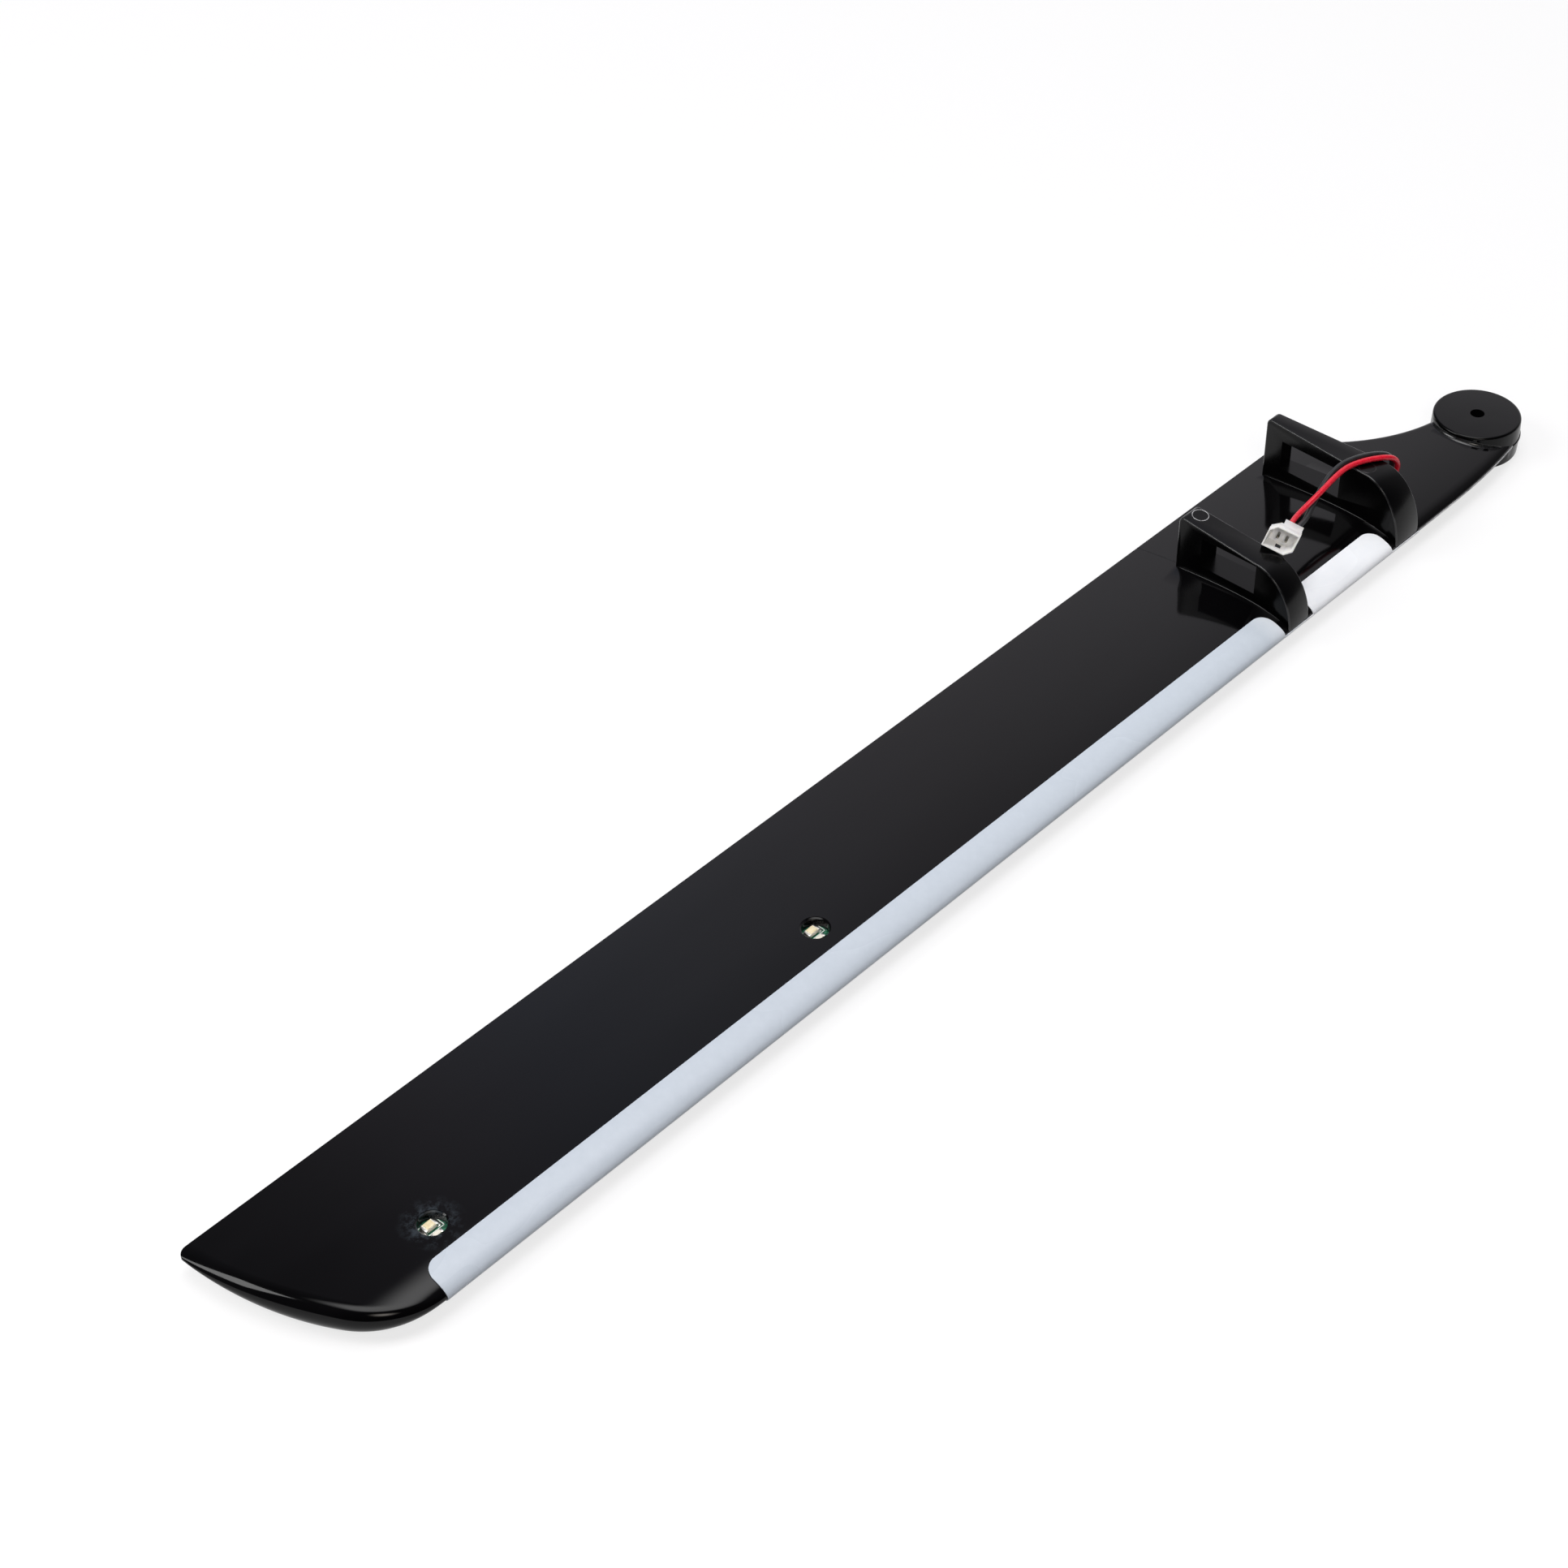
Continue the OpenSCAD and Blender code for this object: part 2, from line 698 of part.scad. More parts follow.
module mid_light_board() { light_board(mid_led_x); }
module tip_light_board() { light_board(tip_led_x); }
module mid_upper_light() { light_chip(mid_led_x, 0, floor_z - led_h); }
module mid_lower_light() { light_chip(mid_led_x, -led_back, seat_z); }
module tip_upper_light() { light_chip(tip_led_x, 0, floor_z - led_h); }
module tip_lower_light() { light_chip(tip_led_x, -led_back, seat_z); }
module positive_feed_wire() { color([0.85, 0.12, 0.16]) feed_wire(1); }
module negative_feed_wire() { color([0.12, 0.12, 0.13]) feed_wire(-1); }
module positive_link_wire() { color([0.85, 0.12, 0.16]) link_wire(1); }
module negative_link_wire() { color([0.12, 0.12, 0.13]) link_wire(-1); }
module red_lead() { color([0.85, 0.12, 0.16]) cord_tube(red_route); }
module black_lead() { color([0.12, 0.12, 0.13]) cord_tube(black_route); }
module positive_pin() { contact_pin(-1); }
module negative_pin() { contact_pin(1); }

blade();
channel_cover();
wrap_film();
mid_light_board();
tip_light_board();
mid_upper_light();
mid_lower_light();
tip_upper_light();
tip_lower_light();
positive_feed_wire();
negative_feed_wire();
positive_link_wire();
negative_link_wire();
red_lead();
black_lead();
connector_housing();
positive_pin();
negative_pin();
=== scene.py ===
"""Looks of a lighted rotor blade for a small model helicopter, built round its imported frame."""

import math

import bmesh
import bpy
from mathutils import Euler, Matrix, Vector


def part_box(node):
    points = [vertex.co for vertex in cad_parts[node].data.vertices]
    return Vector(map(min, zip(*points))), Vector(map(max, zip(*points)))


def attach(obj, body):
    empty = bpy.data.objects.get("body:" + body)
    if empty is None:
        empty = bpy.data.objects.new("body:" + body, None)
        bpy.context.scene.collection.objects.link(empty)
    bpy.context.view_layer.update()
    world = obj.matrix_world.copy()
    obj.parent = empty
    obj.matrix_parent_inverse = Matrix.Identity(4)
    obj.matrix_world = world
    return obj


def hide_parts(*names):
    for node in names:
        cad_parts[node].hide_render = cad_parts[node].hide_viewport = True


MM = 0.001

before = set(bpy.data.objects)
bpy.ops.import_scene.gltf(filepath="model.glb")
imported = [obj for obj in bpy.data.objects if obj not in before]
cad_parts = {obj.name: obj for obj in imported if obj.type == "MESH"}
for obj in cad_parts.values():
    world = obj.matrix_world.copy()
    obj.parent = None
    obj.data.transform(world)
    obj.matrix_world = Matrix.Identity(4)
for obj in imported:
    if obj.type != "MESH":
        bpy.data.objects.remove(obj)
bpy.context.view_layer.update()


def node_box(name):
    """Lowest and highest corner of a frame node, in millimetres."""
    low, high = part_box(name)
    return [c / MM for c in low], [c / MM for c in high]


# Camera of the photograph in the blade's frame, in millimetres
CAMERA_POS = (350.79, 189.27, 271.61)
CAMERA_RIGHT = (-0.67755, 0.73535, -0.01353)
CAMERA_UP = (-0.49298, -0.44042, 0.75033)
LENS = 72.73
SENSOR = 36.0

# Blade sizes, from the frame where it gives them
blade_low, blade_high = node_box("blade")
LE = blade_high[1]
TE = blade_low[1]
BOSS_R = -blade_low[0]
BOSS_HALF = -blade_low[2]
BLADE_LENGTH = 230.0
CHORD = LE - TE
HALF_T = 1.95
TE_HALF = 0.35
EDGE_MIN = 0.05
FOIL_TERMS = (2.969, -1.26, -3.516, 2.843, -1.036)
PEAK_SHARE = 0.3

# Root outline
NECK_BACK = 4.7
ROOT_TE_X = 21.0
ROOT_LE_X = 24.2
ROOT_FULLNESS = 3
ROOT_ROUND = 1.2
ROOT_DROP = -NECK_BACK - TE
ROOT_ARC_R = (ROOT_TE_X**2 + ROOT_DROP**2) / (2 * ROOT_DROP)
ROOT_INSET = 0.02
BORE_R = 1.05

# Tip outline: a small arc off the leading edge, then a long arc to the trailing edge
TIP_LE_R = 11.5
TIP_TURN = math.radians(60)
TIP_TE_R = 1.3
TIP_ROUND = 1.9
TIP_BREAK_Y = LE - TIP_LE_R * (1 - math.cos(TIP_TURN))
TIP_ARC_R = (TIP_BREAK_Y - TE) / math.cos(TIP_TURN)
TIP_BREAK_X = BLADE_LENGTH - TIP_ARC_R * (1 - math.sin(TIP_TURN))
TIP_START_X = TIP_BREAK_X - TIP_LE_R * math.sin(TIP_TURN)
TIP_END_GAP = 0.05

# Battery clips: outboard face, thickness at the leading edge and at the open end, lean of the
# outboard face, end behind the bore axis, height at the end and at the shoulder, window width
# and the wall beside it
CLIPS = {
    "outboard": dict(
        face=57.5, thick=4.5, end_t=3.6, lean=0.3, end=11.9, end_h=9.9, shoulder_h=8.4,
        window_w=9.3, wall=4.1,
    ),
    "inboard": dict(
        face=32.0, thick=5.4, end_t=2.2, lean=1.0, end=16.2, end_h=10.6, shoulder_h=9.5,
        window_w=10.4, wall=3.0,
    ),
}
SHOULDER_RUN = 7.0
WINDOW_H = 4.6
WINDOW_SILL = 3.4
CLIP_CORNER_R = 0.8
CLIP_EDGE = 0.2
# Fillet at a clip's foot, the runs over which it fades at the front and back, and its ends there
CLIP_FILLET = 0.2
FOOT_RUNS = (4.0, 0.8)
FOOT_ENDS = (0.35, 0.25)
# Boss: draft and rounding of its faces, its fillet, the skin thickness at which that fillet has its
# full size, how deep it dips into the skin, and the least height of the wall above the middle
BOSS_DRAFT = 0.1
BOSS_EDGE = 0.4
BOSS_FILLET = 0.7
FILLET_SKIN = 0.6
FILLET_DIP = 1.04
BOSS_WALL_MIN = 0.02
# Beads left by the mould, where the parting line runs on the boss, how far the flash runs under
# the film, and how far the seam lies inside the outboard clip's face
PARTING_R = 0.12
PARTING_TURNS = (88, 235)
FLASH_LAP = 0.2
SEAM_R = 0.04
SEAM_IN = 0.8
MARK_R, MARK_FLATNESS = 0.06, 0.6
# Turn of the points round a bead or a mark, in steps, so that none lies on a flat face
BEAD_PHASE, MARK_PHASE = 0.3, 0.5
# Middle and radius of the round mould mark on each clip top
EJECTOR_MARKS = {"outboard": (54.9, -10.0, 1.15), "inboard": (30.2, 0.6, 1.2)}

# Lights, channel and cover
LIGHT_XS = {k: sum(c[0] for c in node_box(k + "_lower_light")) / 2 for k in ("mid", "tip")}
LOWER_HOLE_R, LOWER_RIM_R, LOWER_RIM_DEPTH, LOWER_RIM_SLOPE = 1.75, 1.95, 0.22, 0.1
UPPER_HOLE_R, UPPER_RIM_R, UPPER_RIM_DEPTH = 1.8, 2.4, 0.25
COVER_START, COVER_END = node_box("channel_cover")[0][0], node_box("channel_cover")[1][0]
LID_Z = node_box("channel_cover")[1][2]
CHANNEL_Y = 0.4
COVER_W = 3.5
LEDGE = 0.5
HEAD_SLOPE = 1.4
FIT_GAP = 0.06
board_low, board_high = node_box("mid_light_board")
BOARD_L = board_high[0] - board_low[0]
BOARD_W = board_high[1] - board_low[1]
BOARD_FLOOR, BOARD_SEAT = board_low[2], board_high[2]
BOARD_SHIFT = LIGHT_XS["mid"] - (board_low[0] + board_high[0]) / 2
EXIT_X = 25.8
EXIT_R = 0.55
EXIT_LAP = 0.5
WIRE_PITCH = 1.0

# Light boards: their edges, a chip's pads, the printed frame round it, and the small part beside the
# lower chip
BOARD_EDGE = 0.04
PAD_LONG, PAD_SPARE, PAD_HIGH, PAD_OUT, PAD_EDGE = 0.7, 0.1, 0.05, 0.1, 0.02
PRINT_LINE, PRINT_HIGH = 0.12, 0.03
PRINT_OUT = (0.55, 0.25)
PRINT_SPARE = (1.2, 0.6)
PART_SIZE, PART_OUT, PART_RISE = (1.0, 0.55, 0.28), 0.75, 0.12
PART_END_SIZE, PART_END_OUT, PART_END_RISE = (0.3, 0.6, 0.25), 0.62, 0.1
# Light chip: its edges, the shares of its box that body, lens and ends take, and their shifts in it
CHIP_EDGE, LENS_EDGE = 0.03, 0.08
CHIP_BODY = (0.78, 0.98, 0.7)
CHIP_LENS, LENS_RISE = (0.62, 0.9, 0.52), 0.22
CHIP_END, END_OUT, END_DROP = (0.16, 1.0, 0.76), 0.42, 0.1

# Film
FILM_IN = 0.02
FILM_OUT = 0.14
FILM_END = node_box("wrap_film")[1][0]
FILM_BACK = 9.1
PANEL_BACK = 17.7
PANEL_END = 61.5
STRIP_FRONT = 3.8
STRIP_GAP = 1.0
FILM_HOLE_R = 3.0
FILM_R = 2.0
FILM_ROOT_X = ROOT_LE_X + 0.4
FILM_KNEE_Y = 2.4
FILM_FRONT_RUN = 2.0
PANEL_LEAN = 3.4
PANEL_SLANT = 8.0
SLANT_EASE = (2.5, 0.8)
FILM_SPARE = 0.6
FILM_RUNOUT = 0.5
FILM_LAP = 0.3

# Connector and leads
CONN_POS = (52.8, 2.0, 10.1)
CONN_TURN = (-18.0, -20.0, 26.0)
CONN_W, CONN_H, CONN_MOUTH = 4.3, 3.4, 3.2
CONN_BLOCK, CONN_BLOCK_W, CONN_BLOCK_H = 2.3, 2.8, 2.4
CONN_WALL = 0.5
CONN_CHAMFER = 0.95
CONN_EDGE = 0.1
CONN_LIP = 0.2
CONN_FLANGE = 1.5
REAR_CHAMFER = 1.15
REAR_INSET = 0.05
CONN_LAP = 0.1
BLOCK_STEP = 0.3
BLOCK_INSET = 0.1
CAVITY_OUT = 0.2
KEY_W, KEY_START, KEY_END, KEY_TOP, KEY_WALL = 0.8, -1.0, -2.2, 0.3, 0.12
PIN_SIDE, PIN_PITCH = 0.4, 1.25
PIN_TIP = -0.45
PIN_EDGE = 0.03
# How far behind its tip a pin has each share of its full size
PIN_TAPER = ((0.35, 1.0), (0.05, 0.55), (0.0, 0.3))
WIRE_D = 0.8
WIRE_SOCKET = 1.2
SOCKET_GAP = 0.15
RED_ROUTE = [
    (25.8, 0.9, 0.9), (25.8, 0.9, 2.2), (25.5, 1.1, 3.4), (24.9, 1.5, 4.6),
    (24.4, 1.8, 5.9), (24.3, 2, 7.2), (24.8, 2.1, 8.5), (25.9, 1.8, 9.6),
    (27.4, 1.1, 10), (29.1, 0.1, 10.1), (30.9, -0.7, 10.1), (32.8, -1.2, 10.1),
    (34.8, -1.2, 10), (36.8, -1.1, 9.8), (38.8, -0.9, 9.6), (40.7, -1, 9.1),
    (42.3, -1.1, 8.6), (43.9, -1.1, 8.3), (45.5, -0.9, 8.2), (47, -0.4, 8.3),
    (48.4, 0.3, 8.9),
]
BLACK_ROUTE = [
    (25.8, -0.1, 0.9), (25.8, -0.1, 2.2), (25.4, 0.1, 3.4), (24.8, 0.5, 4.6),
    (24.3, 0.8, 5.9), (24.2, 1, 7.2), (24.7, 1.1, 8.5), (25.8, 0.8, 9.6),
    (27.3, 0.1, 10.1), (29, -0.9, 10.2), (30.8, -1.7, 10.2), (32.8, -2.2, 10.1),
    (34.8, -2.2, 9.8), (36.8, -1.9, 9.4), (38.8, -1.5, 8.9), (40.7, -1, 8.2),
    (42.3, -0.5, 7.9), (43.8, 0, 7.7), (45.2, 0.2, 7.8), (46.7, 0.5, 8.1),
    (48.1, 1.2, 8.6),
]

# How strongly the black plastic mirrors on its faces and edges, and where the film turns from
# white to grey
BLACK_GLOSS = 0.2
SATIN_GLOSS = 0.17
EDGE_GLOSS = 0.45
FILM_WHITE_X = (53.0, 62.0)

SMOOTH_ANGLE = math.radians(32)
SIDE_STEPS = 44
ROOT_STEPS, NECK_STEPS, SPAN_STEPS, TIP_LE_STEPS, TIP_ARC_STEPS = 26, 4, 46, 22, 26
# How far a cutter reaches past what it cuts
OVERCUT = 1.0


def spread(first, last, steps):
    """Evenly spaced values from one to another, both included."""
    return [first + (last - first) * i / steps for i in range(steps + 1)]


# Shape of the blade


def foil_half(s):
    """Half thickness of the section at a distance back from the leading edge."""
    u = min(max(s / CHORD, 0.0), 1.0)
    powers = (math.sqrt(u), u, u**2, u**3, u**4)
    shape = sum(t * p for t, p in zip(FOIL_TERMS, powers))
    return shape * (HALF_T - PEAK_SHARE * TE_HALF) + TE_HALF * u


def edge_fade(d, width):
    """Rise from zero at a rounded edge to one inside it."""
    k = min(max(d / width, 0.0), 1.0)
    return math.sqrt(1 - (1 - k) ** 2)


def outline(x):
    """Front and back of the blade's plan at a station."""
    if x < ROOT_LE_X:
        root_half = BOSS_R - ROOT_INSET
        front = LE - (LE - root_half) * max(1 - x / ROOT_LE_X, 0) ** ROOT_FULLNESS
        if x < ROOT_TE_X:
            back = -NECK_BACK - ROOT_ARC_R + math.sqrt(ROOT_ARC_R**2 - x * x)
        else:
            back = TE
        return front, back
    if x <= TIP_START_X:
        return LE, TE
    d = max(x - BLADE_LENGTH + TIP_TE_R, 0)
    back = TE + TIP_TE_R - math.sqrt(max(TIP_TE_R**2 - d * d, 0))
    if x <= TIP_BREAK_X:
        front = LE - TIP_LE_R + math.sqrt(TIP_LE_R**2 - (x - TIP_START_X) ** 2)
    else:
        front = TE + math.sqrt(max(TIP_ARC_R**2 - (x - BLADE_LENGTH + TIP_ARC_R) ** 2, 0))
    return front, back


def tip_edge_x(y):
    """Where the tip outline lies at a distance across the chord."""
    if y > TIP_BREAK_Y:
        return TIP_START_X + math.sqrt(max(TIP_LE_R**2 - (y - LE + TIP_LE_R) ** 2, 0))
    return BLADE_LENGTH - TIP_ARC_R + math.sqrt(TIP_ARC_R**2 - (y - TE) ** 2)


def blade_half(x, y):
    """Half thickness of the blade at a point of its plan."""
    front, back = outline(x)
    if y > front or y < back:
        return 0.0
    base = foil_half((front if x < ROOT_LE_X else LE) - y)
    if x < ROOT_TE_X - EDGE_MIN:
        return base * edge_fade(y - back, ROOT_ROUND)
    if x > TIP_START_X:
        return base * edge_fade(tip_edge_x(y) - x, TIP_ROUND)
    return base


def blade_stations():
    """Distances along the span at which the loft has a ring."""
    root = [ROOT_TE_X * math.sin(t) for t in spread(0, math.pi / 2, ROOT_STEPS)]
    neck = spread(ROOT_TE_X, ROOT_LE_X, NECK_STEPS)
    span = spread(ROOT_LE_X, TIP_START_X, SPAN_STEPS)
    small = [TIP_START_X + TIP_LE_R * math.sin(t) for t in spread(0, TIP_TURN, TIP_LE_STEPS)]
    end_turn = math.asin(1 - TIP_END_GAP / TIP_ARC_R)
    turns = spread(TIP_TURN, end_turn, TIP_ARC_STEPS)
    large = [BLADE_LENGTH - TIP_ARC_R * (1 - math.sin(t)) for t in turns]
    return root + neck[1:] + span[1:] + small[1:] + large[1:]


def section_ring(x):
    """Points round the blade at a station, underside first."""
    front, back = outline(x)
    shares = [(1 - math.cos(t)) / 2 for t in spread(0, math.pi, SIDE_STEPS)]
    ys = [front - (front - back) * s for s in shares]
    hs = [0.0] + [max(blade_half(x, y), EDGE_MIN) for y in ys[1:]]
    lower = [(x, y, h) for y, h in zip(ys, hs)]
    upper = [(x, y, -h) for y, h in zip(ys[:0:-1], hs[:0:-1])]
    return lower + upper


# Mesh helpers, all in millimetres until an object is finished


def add_object(name, data):
    """A new object of the scene for a mesh, curve, lamp or camera."""
    obj = bpy.data.objects.new(name, data)
    bpy.context.scene.collection.objects.link(obj)
    return obj


def make_mesh(name, verts, faces):
    """A new object from points and faces, with its faces turned outward."""
    mesh = bpy.data.meshes.new(name)
    bm = bmesh.new()
    points = [bm.verts.new(v) for v in verts]
    for face in faces:
        bm.faces.new([points[i] for i in face])
    bmesh.ops.recalc_face_normals(bm, faces=bm.faces)
    bm.to_mesh(mesh)
    bm.free()
    return add_object(name, mesh)


def loft(name, rings):
    """A closed skin over rings that all have the same number of points."""
    count = len(rings[0])
    verts = [p for ring in rings for p in ring]
    faces = [tuple(range(count)), tuple((len(rings) - 1) * count + k for k in range(count))]
    for i in range(len(rings) - 1):
        for k in range(count):
            a = i * count + k
            b = i * count + (k + 1) % count
            faces.append((a, b, b + count, a + count))
    return make_mesh(name, verts, faces)


def prism(name, plan, low, high):
    """A plan outline extruded between two heights."""
    return loft(name, [[(x, y, low) for x, y in plan], [(x, y, high) for x, y in plan]])


def box(name, low, high):
    """An upright block between two corners."""
    plan = [(low[0], low[1]), (high[0], low[1]), (high[0], high[1]), (low[0], high[1])]
    return prism(name, plan, low[2], high[2])


def turned(name, profile, centre=(0.0, 0.0), steps=64):
    """A closed body turned about a vertical axis, from a profile of radius and height."""
    rings = []
    for r, z in profile:
        angles = spread(0, 2 * math.pi, steps)[:-1]
        rings.append([(centre[0] + r * math.cos(a), centre[1] + r * math.sin(a), z) for a in angles])
    return loft(name, rings)


def arc(centre, r, start, end, steps=10):
    """Points of an arc, with its angles in degrees."""
    angles = [math.radians(a) for a in spread(start, end, steps)]
    return [(centre[0] + r * math.cos(a), centre[1] + r * math.sin(a)) for a in angles]


def bake(obj):
    """Apply an object's modifiers to its mesh."""
    bpy.context.view_layer.update()
    shown = obj.evaluated_get(bpy.context.evaluated_depsgraph_get())
    mesh = bpy.data.meshes.new_from_object(shown)
    obj.modifiers.clear()
    obj.data = mesh


def combine(obj, other, operation):
    """Cut, join or intersect an object with another, which is used up."""
    step = obj.modifiers.new("combine", "BOOLEAN")
    step.operation = operation
    step.solver = "EXACT"
    step.material_mode = "TRANSFER"
    step.object = other
    bake(obj)
    bpy.data.objects.remove(other)
    return obj


def dress(obj, *materials):
    """Give an object its materials, in place of any that it has."""
    obj.data.materials.clear()
    for material in materials:
        obj.data.materials.append(material)
    return obj


def joined(name, objs):
    """Several objects of one material each as one, with no change to their shapes."""
    bm = bmesh.new()
    slots = []
    for obj in objs:
        first = len(bm.faces)
        bm.from_mesh(obj.data)
        bm.faces.ensure_lookup_table()
        material = obj.data.materials[0]
        if material not in slots:
            slots.append(material)
        for face in bm.faces[first:]:
            face.material_index = slots.index(material)
        bpy.data.objects.remove(obj)
    mesh = bpy.data.meshes.new(name)
    bm.to_mesh(mesh)
    bm.free()
    for material in slots:
        mesh.materials.append(material)
    return add_object(name, mesh)


def round_edges(obj, width, segments=3, angle=35, slot=-1):
    """Round the sharp edges of an object, in a material slot of their own if one is given."""
    step = obj.modifiers.new("edges", "BEVEL")
    step.width = width
    step.segments = segments
    step.limit_method = "ANGLE"
    step.angle_limit = math.radians(angle)
    step.material = slot
    bake(obj)
    return obj


def finish_piece(obj, node):
    """Bring a piece to metres, smooth it and set it on the frame in place of its node."""
    obj.data.transform(Matrix.Scale(MM, 4))
    obj.data.shade_smooth()
    obj.data.set_sharp_from_angle(angle=SMOOTH_ANGLE)
    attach(obj, "root")
    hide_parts(node)
    return obj


# Material helpers


def set_stops(ramp, stops):
    """Give a ramp its stops of position and colour."""
    elements = ramp.color_ramp.elements
    while len(elements) < len(stops):
        elements.new(0.5)
    for element, (position, colour) in zip(elements, stops):
        element.position = position
        element.color = (*colour, 1)


class Nodes:
    """A material's node tree with short ways to add nodes to it."""

    def __init__(self, name):
        self.material = bpy.data.materials.new(name)
        self.material.use_nodes = True
        self.tree = self.material.node_tree
        self.shader = self.tree.nodes["Principled BSDF"]
        self.coords = self.tree.nodes.new("ShaderNodeTexCoord").outputs["Object"]

    def link(self, source, target):
        self.tree.links.new(source, target)

    def noise(self, scale, detail=3.0, rough=0.5, stretch=(1, 1, 1)):
        """Noise of so many features in a metre, stretched along the axes."""
        mapping = self.tree.nodes.new("ShaderNodeMapping")
        mapping.inputs["Scale"].default_value = stretch
        self.link(self.coords, mapping.inputs["Vector"])
        node = self.tree.nodes.new("ShaderNodeTexNoise")
        node.inputs["Scale"].default_value = scale
        node.inputs["Detail"].default_value = detail
        node.inputs["Roughness"].default_value = rough
        self.link(mapping.outputs["Vector"], node.inputs["Vector"])
        return node.outputs["Fac"]

    def ramp(self, source, *stops):
        """Map a value to colours, from stops of position and colour."""
        node = self.tree.nodes.new("ShaderNodeValToRGB")
        set_stops(node, stops)
        self.link(source, node.inputs["Fac"])
        return node.outputs["Color"]

    def span(self, source, low, high, low_in=0.0, high_in=1.0):
        """Map a value from one range to another."""
        node = self.tree.nodes.new("ShaderNodeMapRange")
        node.inputs["From Min"].default_value = low_in
        node.inputs["From Max"].default_value = high_in
        node.inputs["To Min"].default_value = low
        node.inputs["To Max"].default_value = high
        self.link(source, node.inputs["Value"])
        return node.outputs["Result"]

    def math(self, operation, a, b):
        """One step of arithmetic on two values or sockets."""
        node = self.tree.nodes.new("ShaderNodeMath")
        node.operation = operation
        for socket, value in zip(node.inputs, (a, b)):
            if isinstance(value, (int, float)):
                socket.default_value = value
            else:
                self.link(value, socket)
        return node.outputs["Value"]

    def mix(self, share, first, second):
        """Mix two colours or colour sockets by a share."""
        node = self.tree.nodes.new("ShaderNodeMix")
        node.data_type = "RGBA"
        self.link(share, node.inputs["Factor"])
        colours = [s for s in node.inputs if s.type == "RGBA"]
        for socket, value in zip(colours, (first, second)):
            if isinstance(value, tuple):
                socket.default_value = (*value, 1)
            else:
                self.link(value, socket)
        return [s for s in node.outputs if s.type == "RGBA"][0]

    def bump(self, *layers):
        """Stack height layers of source, strength and depth in millimetres into the normal."""
        normal = None
        for source, strength, depth in layers:
            node = self.tree.nodes.new("ShaderNodeBump")
            node.inputs["Strength"].default_value = strength
            node.inputs["Distance"].default_value = depth * MM
            self.link(source, node.inputs["Height"])
            if normal:
                self.link(normal, node.inputs["Normal"])
            normal = node.outputs["Normal"]
        self.link(normal, self.shader.inputs["Normal"])

    def colour(self, source):
        self.link(source, self.shader.inputs["Base Color"])

    def roughness(self, source):
        self.link(source, self.shader.inputs["Roughness"])

    def put(self, **values):
        """Set constants on the shader's own sockets, with a colour as a tuple."""
        for name, value in values.items():
            socket = self.shader.inputs[name.replace("_", " ").title().replace("Ior", "IOR")]
            socket.default_value = (*value, 1) if isinstance(value, tuple) else value

    def near(self, point, radius):
        """One at a point, given in millimetres, and zero past a radius."""
        node = self.tree.nodes.new("ShaderNodeVectorMath")
        node.operation = "DISTANCE"
        self.link(self.coords, node.inputs[0])
        node.inputs[1].default_value = [c * MM for c in point]
        return self.span(node.outputs["Value"], 1.0, 0.0, 0.0, radius * MM)


def blade_material():
    """Gloss black moulded plastic with faint flow marks, dust and a haze round the tip light."""
    m = Nodes("gloss_black")
    flow = m.noise(60, 2.0, 0.5, (0.35, 1.6, 1))
    specks = m.ramp(m.noise(2600, 2.0, 0.6), (0.70, (0, 0, 0)), (0.78, (1, 1, 1)))
    base = m.ramp(flow, (0.3, (0.0008, 0.0007, 0.0009)), (0.7, (0.0018, 0.0017, 0.002)))
    haze = m.near((LIGHT_XS["tip"], 0.0, HALF_T), 4.2)
    streaks = m.ramp(m.noise(600, 5.0, 0.75), (0.46, (0, 0, 0)), (0.66, (1, 1, 1)))
    haze = m.math("MULTIPLY", m.math("POWER", haze, 1.3), streaks)
    m.colour(m.mix(haze, base, (0.075, 0.095, 0.115)))
    smear = m.noise(140, 4.0, 0.6, (0.5, 1.2, 1))
    rough = m.span(smear, 0.05, 0.12)
    rough = m.math("ADD", rough, m.math("MULTIPLY", specks, 0.1))
    m.roughness(m.math("ADD", rough, m.math("MULTIPLY", haze, 0.3)))
    wave = m.noise(45, 1.0, 0.4, (0.4, 1.4, 1))
    m.bump((m.noise(420, 2.0, 0.5), 0.03, 0.02), (wave, 0.1, 0.12))
    m.put(specular_ior_level=BLACK_GLOSS)
    return m.material


def clip_material():
    """Black plastic of the clips, a little more satin than the blade."""
    m = Nodes("satin_black")
    grain = m.noise(3200, 3.0, 0.6)
    mottle = m.noise(300, 3.0, 0.6)
    m.colour(m.ramp(mottle, (0.3, (0.0004, 0.0004, 0.0005)), (0.7, (0.001, 0.001, 0.001))))
    m.roughness(m.span(mottle, 0.16, 0.26))
    m.bump((grain, 0.12, 0.012), (mottle, 0.06, 0.03))
    m.put(specular_ior_level=SATIN_GLOSS)
    return m.material


def worn_material(name, scale, dark, light, rough, stretch=(1, 1, 1), **values):
    """A surface whose colour and roughness change with fine wear."""
    m = Nodes(name)
    wear = m.noise(scale, 3.0, 0.6, stretch)
    m.colour(m.ramp(wear, (0.35, dark), (0.65, light)))
    m.roughness(m.span(wear, *rough))
    m.put(**values)
    return m.material


